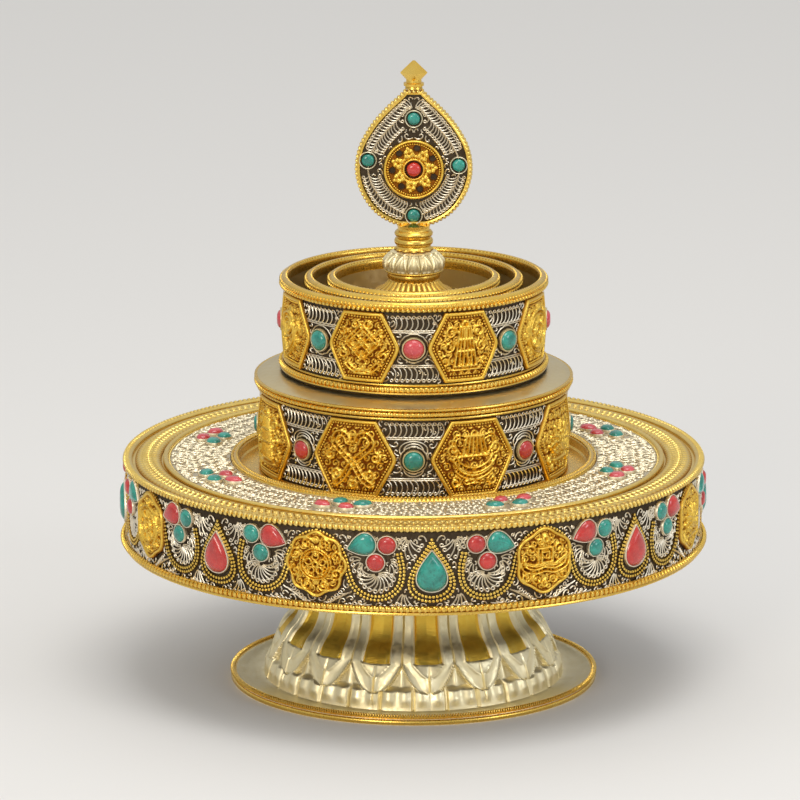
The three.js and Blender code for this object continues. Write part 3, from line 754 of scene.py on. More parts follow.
channels = join([channel(k * TURN / PETALS) for k in range(PETALS)])
piece("foot_channels", channels, gilt_scraped, "gilt", "stand")
wire_low, wire_high, wire_rim = span("foot_beaded_wire")
foot_wire = [
    bead_ring(wire_rim - 1.35, (wire_low + wire_high) / 2, 1.25, (0.6, 1.25, 1.25)),
    tube_ring(wire_rim - 2.2, wire_low + 0.5, 1.2, 0.8, RING_STEPS, 8),
    tube_ring(foot_rim - 1.0, 1.35, 1.0, 1.3, RING_STEPS, 12),
]
piece("foot_rim_wire", join(foot_wire), gilt, "gilt", "stand", ["foot_beaded_wire"])

# %% [markdown]
# ## The drum and its top
#
# The drum is a round box of silver sheet, darkened so that the wire on it shows. Round its flange and its
# shoulder run two thick beaded wires. On top, from the edge inwards, lie a braid of four gilt strands, a
# plain wire with fine beads, a ring of filigree with stones, and the rolled rim of the well.

# %% Drum shell and wires
drum_base, drum_top, _ = span("drum_shell")
DRUM = 136.0
WELL = 83.0
BIG_BEAD = 2.75
shell = turned(
    [
        (50, drum_base), (137.2, drum_base), (137.6, drum_base + 0.4), (137.6, drum_base + 0.9),
        (137.2, drum_base + 1.2), (DRUM, drum_base + 1.2), (DRUM, drum_top - 1.2),
        (DRUM - 0.4, drum_top - 0.3),
        (DRUM - 1.2, drum_top), (WELL + 1.5, drum_top), (WELL + 1.5, drum_top - 1.2),
        (DRUM - 1.2, drum_top - 1.2),
        (DRUM - 1.2, drum_base + 1.2), (50, drum_base + 1.2),
    ],
    WIDE_STEPS,
)
piece("drum_body", shell, silver_ground, "oxidised_silver", "stand", ["drum_shell"])

low, high, reach = span("drum_lower_beaded_wire")
lower_wire = [
    bead_ring(reach - 1.65, (low + high) / 2, BIG_BEAD, (1.34, 1.6, 1.75), 8, 3),
    tube_ring(reach - 2.6, (low + high) / 2 - 0.1, 1.3, 1.4, WIDE_STEPS),
    tube_ring(137.4, drum_base + 0.8, 0.7, 0.8, WIDE_STEPS, 8),
]
piece("drum_lower_wire", join(lower_wire), gilt, "gilt", "stand", ["drum_lower_beaded_wire"])
low, high, reach = span("drum_upper_beaded_wire")
deck_low, deck_high = drum_top - 0.1, drum_top + 0.35
upper_wire = [
    bead_ring(reach - 1.6, (low + high) / 2, BIG_BEAD, (1.34, 1.6, 1.75), 8, 3),
    tube_ring(reach - 3.0, (low + high) / 2 - 0.3, 1.6, 1.3, WIDE_STEPS),
    turned([(117.4, deck_low), (DRUM, deck_low), (DRUM, deck_high), (117.4, deck_high)], WIDE_STEPS),
]
piece("drum_upper_wire", join(upper_wire), gilt_pale, "gilt", "stand", ["drum_upper_beaded_wire"])

# %% [markdown]
# ## The braid
#
# Four strands swing from side to side, a quarter of a swing apart. Each is a rounded ridge on one fine
# grid, highest where it crosses over another strand, and the grid takes the highest of the four
# everywhere.

# %% Braid
braid_low, _, braid_out = span("braided_band")
BRAID = 12.5
STRANDS = 4
swings = 52
steps = swings * 28
angle = np.arange(steps) * TURN / steps
across = np.linspace(-BRAID / 2, BRAID / 2, 27)[:, None]
strand_height = np.zeros((len(across), steps))
for strand in range(STRANDS):
    phase = swings * angle + strand * TURN / STRANDS
    line = 4.35 * np.sin(phase)
    ridge = np.sqrt(np.clip(1 - ((across - line) / 1.85) ** 2, 0, 1))
    strand_height = np.maximum(strand_height, ridge * (1.25 + 0.45 * np.cos(2 * phase)))
bed = braid_low + 0.5
top_grid = around(angle[None], braid_out - BRAID / 2 + across, bed + strand_height)
bottom = [(braid_out, braid_low), (braid_out - BRAID, braid_low)]
closing = around(angle[None], np.array(bottom)[:, :1], np.array(bottom)[:, 1:])
braid_grid = np.concatenate([top_grid, closing])
# Painted shade, partly tarnish: the dark hollow colour where the strands dip between each other, and 0.8 of
# it on the two closing rows underneath.
braid_dirt_shade = np.concatenate([1 - ease(strand_height, 0.1, 1.0), np.ones((2, steps))]) * 0.8
braid = solid(braid_grid, grid_faces(len(braid_grid), steps, True), braid_dirt_shade)
piece("drum_braid", braid, gilt_pale, "gilt", "stand", ["braided_band"], 60)

low, high, reach = span("plain_band_wire")
plain_wire = [
    tube_ring(reach - 1.25, (low + high) / 2, 1.25, 1.2, WIDE_STEPS),
    bead_ring(reach - 3.0, low + 0.75, 1.5, (0.68, 0.68, 0.68), 6, 2),
]
piece("drum_plain_wire", join(plain_wire), gilt_pale, "gilt", "stand", ["plain_band_wire"])

# %% [markdown]
# ## The filigree ring on top
#
# Between the plain wire and the well lies a plate of silver with rows of curled wire, so close that it
# looks like lace. Eight clusters of four flat stones sit on it in a zigzag, turquoise and pink in turn. A
# curl that would run under a stone is left out, as a maker would leave it out.

# %% Filigree ring and its stones
plate_low, _, plate_out = span("filigree_annulus")
PLATE_IN = 87.3
plate_top = plate_low + 0.9
CLUSTER_TURN = np.radians(26)
plate = turned([(PLATE_IN, plate_low), (plate_out, plate_low), (plate_out, plate_top),
                (PLATE_IN, plate_top)], WIDE_STEPS)
piece("top_filigree_plate", plate, silver_lace, "silver", "stand", ["filigree_annulus"])


def marquise(width, height, steps=24):
    """A pointed oval: x = w/2 cos t, y = h/2 sin t |sin t|^0.35."""
    t = np.arange(steps) * TURN / steps
    return np.stack([width / 2 * np.cos(t), height / 2 * np.sin(t) * np.abs(np.sin(t)) ** 0.35], 1)


CLUSTER = 101.5
cluster_stones = [(-8.6, 3.0, 0.45, 8.8), (-2.4, -4.4, -0.3, 7.8), (3.2, 4.2, 0.3, 7.8),
                  (9.2, -2.8, -0.45, 9.6)]
stones_blue = []
stones_pink = []
settings = []
for k in range(REPEATS):
    surface = on_top(CLUSTER, CLUSTER_TURN + k * EIGHTH, plate_top)
    for n, (x, y, turn, size) in enumerate(cluster_stones):
        dome, strip = set_stone(moved(marquise(size, 7.0), (x, y), turn), surface, 0.1, 2.7, 0.5, 1.5)
        (stones_blue if (n + k) % 2 == 0 else stones_pink).append(dome)
        settings.append(strip)
piece("top_stones_turquoise", join(stones_blue), turquoise, "turquoise", "stand")
piece("top_stones_coral", join(stones_pink), coral_pink, "coral", "stand")


def eighth(angle, first):
    """An angle measured from the nearest of eight evenly spaced places, the first of them given."""
    return (angle - first + EIGHTH / 2) % EIGHTH - EIGHTH / 2


def off_plate(points):
    """True where a point on the top is under a stone or past the plate's edges."""
    beside = eighth(points[..., 0] / CLUSTER, CLUSTER_TURN) * CLUSTER
    outward = points[..., 1]
    off = (outward + CLUSTER < PLATE_IN + 0.5) | (outward + CLUSTER > plate_out - 0.5)
    for x, y, _, size in cluster_stones:
        off |= ((beside - x) / (size / 2 + 0.7)) ** 2 + ((outward - y) / 3.9) ** 2 < 1
    return off


LACE_PITCH = 2.5
lace_rows = []
chance = np.random.default_rng(11)
for row, edge in enumerate(np.arange(PLATE_IN + 1.4, plate_out - 2.0, 3.5)):
    count = REPEATS * round(EIGHTH * edge / LACE_PITCH)
    where = (np.arange(count) + 0.5 * (row % 2)) * TURN * CLUSTER / count
    shaken = (chance.random((count, 2)) - 0.5) * (1.0, 2.2)
    starts = np.stack([where, np.full(count, edge - CLUSTER)], 1) + shaken
    lean = (1, -1)[row % 2]
    heading = np.pi / 2 - lean * (0.4 + 0.9 * chance.random(count))
    lace_rows.append(fitted(starts, heading, (3.6, 2.6, 1.6), 1.1 * lean, 0.6, off_plate))
top_curls = np.concatenate(lace_rows)
print("tines on the drum's top:", len(top_curls))
lace = wires(top_curls, on_top(CLUSTER, 0, plate_top), 0.36, 0.3)
piece("top_filigree", lace, silver_bright, "silver", "stand", crease=60)
piece("top_bezels", join(settings), silver_bright, "silver", "stand")

# %% [markdown]
# ## The well
#
# The pan stands in a shallow gilt well. Its rim is a rolled edge with a row of beads inside and outside.
# A closed profile that starts and ends on the axis gives the floor, the wall and the roll in one piece.

# %% Well
well_low, _, well_out = span("well_dish")
deck = drum_top + 0.3
roll = [(well_out, deck), (well_out, deck + 0.9), (well_out - 0.9, deck + 2.0), (well_out - 2.0, deck + 2.5),
        (WELL + 0.9, deck + 2.1), (WELL + 0.1, deck + 1.2), (WELL, deck)]
floor_height = well_low + 1.2
well_shape = turned(
    [(0, well_low), (WELL + 1.1, well_low), (WELL + 1.1, deck), *smooth(roll, 4), (WELL, floor_height + 0.8),
     (WELL - 0.8, floor_height), (0, floor_height)], WIDE_STEPS)
well_beads = [
    bead_ring(well_out - 0.8, deck + 1.9, 1.9, (0.85, 0.75, 0.75)),
    bead_ring(WELL + 0.9, deck + 2.2, 1.8, (0.8, 0.7, 0.7)),
]
piece("well", join([well_shape, *well_beads]), gilt, "gilt", "stand", ["well_dish"])

# %% [markdown]
# ## The drum's side
#
# The pattern repeats eight times, and each repeat is the mirror of itself about its drop-shaped stone. So
# half of one repeat is drawn flat, then mirrored and copied round. It has a double beaded wave that cups
# three small stones and a fan of wires, a double beaded frame round the big drop, and rows of curls in
# between.

# %% Drum side pattern
DRUM_TURN = np.radians(3.5)
HALF = DRUM * EIGHTH / 2
MID = (drum_base + drum_top) / 2 + 0.6
wave = smooth(
    [(14.8, 8.6), (13.4, 1), (14.6, -6.4), (19.0, -11.0), (25, -12.6), (31.0, -11.2), (35.8, -7.2),
     (38.4, -1),
     (40.2, 6.2), (43.6, 12.2), (48.4, 15.8), (HALF, 17.4)], 8)
ROPE = 0.86
ROPE_PITCH = 1.7
ROPE_BEAD = (0.8, 0.8, 0.85)
BIG_DROP = (0.0, 0.8)
WHIRL = (25.2, -1.2)
trio = [("round", 20.4, 13.0, 0.0, 8.2), ("drop", 32.2, 12.6, -1.9, 10.2), ("round", 25.6, 4.6, 0.0, 8.0)]
drop_frame = grown(drop(20.5, 29, 64), 0.9) + BIG_DROP


def off_side(points):
    """True where a point of half a repeat is under a stone, a beaded line or the emblem, or past the half."""
    x, y = points[..., 0], points[..., 1]
    off = (np.abs(y) > 17.5) | (x < 0.25) | (x > HALF - 0.25)
    off |= (near_path(points, wave) < 1.85) | (near_path(points, drop_frame) < 0.7)
    off |= inside_outline(points, drop_frame)
    off |= ((x - HALF) / 14.4) ** 2 + ((y - 2.6) / 15.2) ** 2 < 1
    for _, stone_x, stone_y, _, size in trio:
        off |= (x - stone_x) ** 2 + (y - stone_y) ** 2 < (size / 2 + 0.75) ** 2
    return off


def fan(centre, first, last, count, start, reaches, bend, eye=0.75):
    """Tines that leave a centre at even angles, in degrees, and fit what is round them."""
    headings = np.radians(np.linspace(first, last, count))
    starts = np.asarray(centre) + start * np.stack([np.cos(headings), np.sin(headings)], 1)
    return fitted(starts, headings, reaches, bend, eye, off_side)


def row(first, last, count, headings, reaches, bend, eye=0.75):
    """Tines that leave a straight line at even steps, with headings in degrees from one to another."""
    starts = np.linspace(first, last, count)
    return fitted(starts, np.radians(np.linspace(*headings, count)), reaches, bend, eye, off_side)


long = np.arange(9.0, 1.4, -0.5)
short = np.arange(6.0, 1.2, -0.4)
half_cell = [
    fan(WHIRL, -205, 25, 13, 0.9, long, 1.5),
    fan((31.2, 4.6), -70, 40, 5, 1.6, short, -1.2),
    fan((20.0, 4.6), 140, 250, 5, 1.6, short, 1.2),
    row((46.5, -13.6), (36.6, -9.8), 6, (-75, -35), short, 0.7),
    row((35.0, -13.8), (27.4, -15.6), 4, (-60, -20), short, 0.7),
    fan((12.2, -9.4), -160, -40, 7, 1.4, long, -0.9),
    fan((10.4, 16.4), -120, 0, 7, 1.2, long, -0.9),
    row((13.5, 16.7), (38.5, 16.7), 11, (-50, -50), short, -2.2, 0.5),
    fan((37.2, 9.0), 35, 115, 6, 1.2, long, -0.8),
    fan((17.4, -14.2), -170, -20, 5, 1.0, short, 0.8),
]
half_cell.append(fillers((0.5, -17.0), (HALF, 17.2), 0.9, off_side, half_cell, 0.78, 3))
print("wires in half a repeat of the drum's side:", [len(group) for group in half_cell])
filigree = []
for k in range(REPEATS):
    surface = on_wall(DRUM, DRUM_TURN + k * EIGHTH, MID)
    filigree += [wires(fold(group), surface, 0.34, 0.4) for group in half_cell]
piece("drum_filigree", join(filigree), silver_wire, "silver", "stand", crease=60)

# %% [markdown]
# ## Beads and stones on the drum's side
#
# The wave carries two lines of beads, one along each side of it, and each big drop stands in two frames
# of beads. The stones of a repeat are red where those of the next one are turquoise, and the other way
# round.

# %% Drum side beads and stones
bead_lines = []
side_blue = []
side_red = []
side_bezels = []
ahead = unit(np.gradient(wave, axis=0))
normal = np.stack([ahead[:, 1], -ahead[:, 0]], 1)
for k in range(REPEATS):
    surface = on_wall(DRUM, DRUM_TURN + k * EIGHTH, MID)
    for side in (1, -1):
        for offset in (ROPE, -ROPE):
            line = (wave + normal * offset) * [side, 1]
            bead_lines.append(beads(line, surface, ROPE_PITCH, ROPE_BEAD, 0.6, False, 6, 2))
        for kind, x, y, turn, size in trio:
            if kind == "round":
                outline = moved(oval(size, size), (x * side, y))
            else:
                outline = moved(drop(size, size * 1.3, 32, 1.0), (x * side, y), turn * side)
            dome, strip = set_stone(outline, surface, 0.1, 2.9, 0.6, 1.9)
            blue = (kind == "round") == (k % 2 == 1)
            (side_blue if blue else side_red).append(dome)
            side_bezels.append(strip)
    for width, tall in ((17.4, 25.2), (20.9, 29.2)):
        frame_line = drop(width, tall, 64) + BIG_DROP
        bead_lines.append(beads(frame_line, surface, ROPE_PITCH, ROPE_BEAD, 0.6, True, 6, 2))
    dome, strip = set_stone(drop(13.6, 19.2, 40, 1.2) + BIG_DROP, surface, 0.2, 3.4, 0.7, 1.9)
    finish, slot = (coral, "coral") if k % 2 else (turquoise, "turquoise")
    piece(f"drum_drop_{k + 1}", dome, finish, slot, "stand", [f"drum_drop_stone_{k + 1}"])
    side_bezels.append(strip)
piece("drum_bead_lines", join(bead_lines), gilt, "gilt", "stand")
piece("drum_stones_turquoise", join(side_blue), turquoise, "turquoise", "stand")
piece("drum_stones_coral", join(side_red), coral, "coral", "stand")
piece("drum_bezels", join(side_bezels), silver_wire, "silver", "stand")

# %% [markdown]
# ## Reliefs
#
# The emblems and plaques are chased gilt sheet: the eight auspicious signs among scrolls. Each one is a
# height over a flat outline. A sign is a list of strokes, and a stroke is a path with a width and a
# height. At every point of the plate the stroke's height is that of a rounded ridge, and where strokes
# meet the highest wins.


# %% Strokes and signs
def arc(x, y, radius, start, end, steps=16, squash=1.0):
    """Part of a circle from one angle to another, in degrees."""
    t = np.radians(np.linspace(start, end, steps))
    return np.stack([x + radius * np.cos(t), y + squash * radius * np.sin(t)], 1)


def ridges(x, y, strokes):
    """The highest of many rounded ridges: h sqrt(1 - (d / w)^2) at a distance d from a stroke's path."""
    at = np.stack([x, y], -1).reshape(-1, 1, 2)
    best = np.zeros(at.shape[0])
    for path, width, tall in strokes:
        path = np.asarray(path, float)
        start, step = path[:-1], np.diff(path, axis=0)
        share = ((at - start) * step).sum(-1) / np.maximum((step**2).sum(-1), 1e-9)
        nearest = start + np.clip(share, 0, 1)[..., None] * step
        distance = np.sqrt(((at - nearest) ** 2).sum(-1)).min(1)
        best = np.maximum(best, tall * np.sqrt(np.clip(1 - (distance / width) ** 2, 0, 1)))
    return best.reshape(x.shape)


def pair(strokes):
    """Strokes and their mirror images."""
    return strokes + [(np.asarray(path, float) * [-1, 1], width, tall) for path, width, tall in strokes]


def doubled(path, gap, tall=2.3, width=0.62):
    """A band drawn as two thin ridges, half a gap to each side of its path."""
    path = np.asarray(path, float)
    ahead = unit(np.gradient(path, axis=0))
    side = np.stack([-ahead[:, 1], ahead[:, 0]], 1) * gap / 2
    return [(path + side, width, tall), (path - side, width, tall)]


def scroll(x, y, radius, start, turns, tall=1.9):
    """A spiral that rolls inwards from a radius; turns below 0 run clockwise. Angles are in degrees."""
    t = np.linspace(0, 1, 18)
    angle = np.radians(start) + turns * TURN * t
    out = radius * (1 - 0.72 * t)
    return np.stack([x + out * np.cos(angle), y + out * np.sin(angle)], 1), 0.6, tall


def ribbons(height):
    """A pair of ribbons that wave down beside a sign."""
    line = smooth([(3, height), (7.2, height + 1), (8.6, height - 3), (6.6, height - 6), (8.4, height - 9)])
    return pair(doubled(line, 1.3, 1.8, 0.5))


# %% [markdown]
# ## The eight signs
#
# The parasol, the pair of fishes, the vase, the lotus, the conch, the endless knot, the banner and the
# wheel are each drawn once, as strokes on a plate 31 mm tall, and scaled to the plaques. Most of a sign
# is symmetric, so its right half is drawn and mirrored.

# %% The eight signs
PARASOL = [
    ([(0, 8), (0, 11)], 1.0, 2.6), *doubled(arc(0, 1.2, 8.0, 0, 180, squash=0.8), 1.6),
    *[([(s * 1.6, 6.2), (s * 5.2, 1.4)], 0.6, 2.2) for s in (-1, -0.4, 0.4, 1)],
    *doubled([(-8.6, 1), (-5, -0.4), (0, 0.6), (5, -0.4), (8.6, 1)], 1.4),
    *doubled([(0, 0.4), (0, -10)], 1.5), *pair([scroll(4.6, -5.4, 3.0, 90, 1.3),
                                                scroll(7.6, -10, 2.2, 0, 1.1)]),
]
FISH = smooth([(-7.6, -10.6), (-4.2, -8.0), (-0.4, -2.2), (4.0, 2.0), (7.6, 5.8), (6.2, 9.4), (3.0, 9.2),
               (1.6, 6.2)])
FISHES = pair([
    *doubled(FISH, 1.9), scroll(-6.6, -6.6, 2.4, -90, -1.2), scroll(9.2, 0.6, 2.3, 90, -1.2),
    ([(-7.6, -10.6), (-10.4, -11.4)], 0.6, 2.0), ([(-7.6, -10.6), (-8.6, -7.8)], 0.6, 2.0),
    scroll(0.6, -9.8, 2.0, 180, 1.0),
])
VASE = [
    *[([(s * 3.4, 8.6), (s * 4.8, 2.0)], 0.6, 2.4) for s in (-1, -0.6, -0.2, 0.2, 0.6, 1)],
    ([(-3.6, 9.2), (3.6, 9.2)], 0.7, 2.4), ([(-5.4, 1.2), (5.4, 1.2)], 0.7, 2.4),
    *doubled(arc(0, 4.6, 9.2, 205, 335), 1.9), *doubled(arc(0, 2.2, 9.6, 222, 318), 1.5),
    *doubled([(-3.6, -9.4), (0, -8.8), (3.6, -9.4)], 1.4), *ribbons(8),
    *pair([scroll(8.6, 3.8, 2.4, -90, 1.2), scroll(7.6, -9.2, 2.3, 90, 1.2)]),
]
LOTUS = [*doubled(arc(0, -6, 6.4, 20, 160, squash=0.4), 1.4), ([(-5.5, -8), (5.5, -8)], 0.8, 2.2)]
for lean, reach in ((0, 11), (26, 10.4), (52, 10), (76, 9.4)):
    far = np.array([np.sin(np.radians(lean)), np.cos(np.radians(lean))])
    wide = np.array([far[1], -far[0]])
    leaf = smooth([(0, -4.5), far * reach * 0.45 + wide * 2.4 - (0, 4), far * reach - (0, 4)])
    LOTUS += pair([(leaf, 0.65, 2.4), (leaf - 2 * ((leaf + (0, 4)) @ wide)[:, None] * wide, 0.65, 2.4)])
LOTUS += pair([scroll(8.2, -8.6, 2.6, 90, -1.3)])
turn = np.linspace(0, 2.6 * TURN, 60)
spiral = np.stack([(0.8 + 0.36 * turn) * np.cos(turn) - 0.5, (0.8 + 0.36 * turn) * np.sin(turn) + 2.4], 1)
CONCH = [
    (spiral, 0.75, 2.4), *doubled(smooth([(5.9, 3), (4.8, -4), (0.6, -8.4), (-3.4, -11)]), 1.8),
    *doubled(smooth([(-6.4, 1), (-6, -4), (-2.6, -8.6)]), 1.3), *ribbons(5),
]
KNOT = [*doubled(arc(0, -2.4, 8.6, 215, 325), 1.7), *doubled([(-3.4, -11.2), (0, -10.6), (3.4, -11.2)], 1.1)]
for shift in (-3.5, 0, 3.5):
    reach = 5.6 - abs(shift) * 0.25
    middle = np.array([shift, -shift + 2.2])
    KNOT += pair(doubled([middle - reach * 0.74, middle, middle + reach * 0.74], 1.5))
KNOT += pair([scroll(2.7, 10.4, 2.2, -40, -1.1), scroll(8.8, 6.2, 2.3, 180, -1.2),
              scroll(9.2, -3.4, 2.4, 90, 1.2)])
BANNER = [
    *[([(s * 2.4, 8.4), (s * 4.8, -7.4)], 0.6, 2.4) for s in (-1, -0.6, -0.2, 0.2, 0.6, 1)],
    *[([(-w, y), (w, y)], 0.6, 2.5) for w, y in ((2.6, 9.2), (3.2, 3.6), (4.0, -1.6), (5.2, -8.2),
                                                 (6.2, -9.8))],
    (arc(0, 10, 1.6, 0, 180), 0.8, 2.5),
    *pair([scroll(6.2, 6.6, 2.8, 180, -1.3), scroll(7.4, 0.4, 2.7, 120, 1.3),
           scroll(9.0, -6.0, 2.6, 90, -1.3)]),
]
WHEEL_SIGN = [*doubled(arc(0, 0, 8.4, 0, 360, 48), 1.8), *doubled(arc(0, 0, 2.8, 0, 360, 24), 1.6)]
for lean in range(0, 360, 45):
    way = np.array([np.cos(np.radians(lean)), np.sin(np.radians(lean))])
    WHEEL_SIGN += doubled([way * 3.6, way * 5.6, way * 7.6], 1.1, 2.2, 0.5)
    WHEEL_SIGN.append((arc(*(way * 10.8), 1.1, 0, 360), 0.6, 2.0))
SIGNS = {
    "parasol": PARASOL, "fishes": FISHES, "vase": VASE, "lotus": LOTUS, "conch": CONCH, "knot": KNOT,
    "banner": BANNER, "wheel": WHEEL_SIGN,
}
print("strokes in each sign:", {name: len(strokes) for name, strokes in SIGNS.items()})


def spirals(x, y, reach_x, reach_y, pitch, tall=1.25):
    """A ground of little spirals on staggered rows, turned left and right by turns, and mirrored."""
    made = []
    for row, level in enumerate(np.arange(-reach_y, reach_y, pitch * 0.86)):
        for n, beside in enumerate(np.arange(pitch * (0.5 if row % 2 else 0.02), reach_x, pitch)):
            way = 1 if (row + n) % 2 else -1
            path, _, _ = scroll(beside, level, pitch * 0.46, 77 * (row + 2 * n), 1.25 * way)
            made += [(path, 0.5, tall), ([(beside, level)] * 2, 0.55, tall)]
    return ridges(x, y, pair(made))


# %% [markdown]
# ## The eight emblems on the drum
#
# An emblem stands under each arch of the beaded wave. Its grid is polar: lines run from the middle to an
# outline whose radius is a function of the angle, and a last line goes down to the wall. Two of them are
# seen from the front, a rosette and a brimmed sign with a flower on top; the other six are signs again.

# %% Drum emblems
ROSETTE = [*doubled(arc(0, 0, 6.75, 0, 360, 48), 1.3, 2.2, 0.6), (arc(0, 0, 1.2, 0, 360), 0.8, 2.6)]
for lean in range(18, 378, 72):
    way = np.array([np.cos(np.radians(lean)), np.sin(np.radians(lean))])
    ROSETTE += [(arc(*(way * 3.5), 1.5, 0, 360), 0.62, 2.2), ([way * 5.2, way * 6.2], 0.6, 2.0)]
for lean in range(0, 360, 45):
    far = np.array([np.cos(np.radians(lean + 22)), np.sin(np.radians(lean + 22))]) * 10.4
    ROSETTE += [scroll(*far, 2.9, lean - 70, 1.2, 2.1), scroll(*(far * 0.98), 1.5, lean + 110, 1.0, 1.8)]
square = [(-3.6, -1.2), (-3.6, 6), (3.6, 6), (3.6, -0.6), (-1.8, -0.6), (-1.8, 4.2), (1.8, 4.2), (1.8, 1.2),
          (0, 1.2)]
brim = smooth([(-11.5, 0.5), (-10, -3.2), (-5, -4.8), (0, -4.0), (5, -4.8), (10.5, -2.4), (11.8, 3)])
BRIMMED = [
    (square, 0.7, 2.3), *doubled(brim, 2.0, 2.3, 0.7),
    *doubled([(-10.5, -0.5), (-5, -2), (0, -1.6), (5, -2), (10.8, 1.6)], 0.8),
    (arc(0, 10.4, 1.3, 0, 360), 0.9, 2.6), *[scroll(2.6 * s, 9.4, 1.9, 90 + 90 * s, 1.1 * s) for s in (-1,
                                                                                                       1)],
    *pair([scroll(6.8, 5.6, 2.7, -90, 1.3), scroll(4.0, -8.6, 2.7, 90, -1.3),
           scroll(9.4, -7.0, 2.4, 180, 1.2)]),
    scroll(0, -11, 2.0, 90, 1.2),
]
EMBLEMS = [BRIMMED, LOTUS, KNOT, CONCH, PARASOL, FISHES, WHEEL_SIGN, ROSETTE]


def emblem(strokes, lobes, width, tall, surface):
    """A relief on a lobed outline: radius 1 + 0.05 cos(lobes t), scaled to half the width and height."""
    steps = 192
    t = np.arange(steps) * TURN / steps
    radius = 1 + 0.05 * np.cos(lobes * (t - np.pi / 2))
    share = (np.arange(1, 41) / 40)[:, None]
    x = share * radius * np.cos(t) * width / 2
    y = share * radius * np.sin(t) * tall / 2
    rim = 1.5 * ease(share, 0.87, 0.92) * (1 - ease(share, 0.97, 1.0)) + 0 * x
    ground = spirals(x, y, width / 2, tall / 2, 3.9) * (1 - ease(share, 0.85, 0.9))
    lift = 0.6 + np.maximum.reduce([ridges(x, y, strokes), ground, rim])
    # Painted shade, partly tarnish: the lower the relief, the more of the dark hollow colour.
    recess = 1 - ease(lift, 0.7, 1.9)
    grid = surface(np.stack([x, y, lift], -1))
    skirt = surface(np.stack([x[-1:], y[-1:], 0 * x[-1:]], -1))
    ends = surface(np.array([[0, 0, lift[0].mean()], [0, 0, 0.0]]))
    return poled(np.concatenate([grid, skirt]), *ends, np.concatenate([recess, recess[-1:]]))


for k, strokes in enumerate(EMBLEMS):
    surface = on_wall(DRUM + 0.3, CLUSTER_TURN + k * EIGHTH, MID + 2.4)
    lobes = 8 if k in (4, 7) else 6
    shape = emblem(strokes, lobes, 28.6, 30.5, surface)
    piece(f"drum_relief_{k + 1}", shape, gilt_deep, "gilt", "stand", [f"drum_emblem_{k + 1}"], 60)

# %% [markdown]
# ## The plaques
#
# The pan and the outer ring carry eight plaques each: a hexagon of thick gilt sheet with a plain border,
# a line of beads, and a sign in deep relief on a ground of little spirals. The grid runs from side to
# side, and each line is as wide as the hexagon there. The ground is worked out once for all plaques of a
# size.


# %% Plaques
CORNER = 1.5
SLANT = 0.245
SIGN_TALL = 31


def bent(y):
    """The size of y with its corner at 0 rounded: sqrt(y^2 + e^2) - e, for side corners that aren't sharp."""
    return np.sqrt(y**2 + CORNER**2) - CORNER


def hexagon_inset(x, y, width, tall):
    """How far inside a hexagon a point is: the smaller distance to its level edges and its slanted ones."""
    run = SLANT * width
    slant = (width / 2 - np.abs(x)) * tall / 2 - bent(y) * run
    return np.minimum(tall / 2 - np.abs(y), slant / np.hypot(tall / 2, run))


def plaque_grid(width, tall, rows, columns):
    """The points of a hexagon in lines from side to side, each point's inset, and the ground of spirals."""
    y = np.linspace(-tall / 2, tall / 2, rows)[:, None] * np.ones(columns)
    x = np.linspace(-1, 1, columns) * (width / 2 - bent(y) / (tall / 2) * SLANT * width)
    return x, y, hexagon_inset(x, y, width, tall), spirals(x, y, width / 2, tall / 2, tall / 8.4)


def plaque(sign, grid, tall, surface):
    """A hexagonal relief plate and its line of beads, as one shape."""
    x, y, inset, ground = grid
    rows, columns = x.shape
    border = 1.9 * np.sqrt(np.clip(1 - np.abs((inset - 0.95) / 1.05) ** 3, 0, 1))
    scale = tall / SIGN_TALL
    strokes = [(np.asarray(path) * scale, width * scale, high) for path, width, high in SIGNS[sign]]
    field = np.maximum(ridges(x, y, strokes), ground)
    lift = np.maximum(0.5 + field * ease(inset, 3.0, 3.5), border)
    # Painted shade, partly tarnish: the lower the relief, the more of the dark hollow colour; the plate's
    # sides and back take 0.6 of it.
    recess = 1 - ease(lift, 0.6, 1.8)
    front = np.stack([x, y, lift], -1)
    index = np.arange(rows * columns).reshape(rows, columns)
    edge = np.concatenate([index[0, :-1], index[:-1, -1], index[-1, :0:-1], index[:0:-1, 0]])
    count = rows * columns
    base = count + np.arange(len(edge))
    after = np.roll(base, -1)
    ahead = np.roll(edge, -1)
    hub = np.full(len(edge), count + len(edge))
    sides = [np.stack([ahead, edge, base], 1), np.stack([ahead, base, after], 1),
             np.stack([after, base, hub], 1)]
    points = np.concatenate([front.reshape(-1, 3), front.reshape(-1, 3)[edge] * [1, 1, 0], [[0, 0, 0]]])
    faces = np.concatenate([grid_faces(rows, columns, False, False), *sides])
    body = solid(surface(points), faces, np.concatenate([recess.ravel(), np.full(len(edge) + 1, 0.6)]))
    outline = np.concatenate([front[0, ::4, :2], front[1:, -1, :2], front[-1, ::-4, :2],
                              front[-2:0:-1, 0, :2]])
    inner = outline * (1 - 2.45 / np.linalg.norm(outline * (0.93, 1), axis=1, keepdims=True))
    return join([body, beads(inner, surface, 1.45, (0.7, 0.62, 0.62), 0.95, True, 6, 2)])


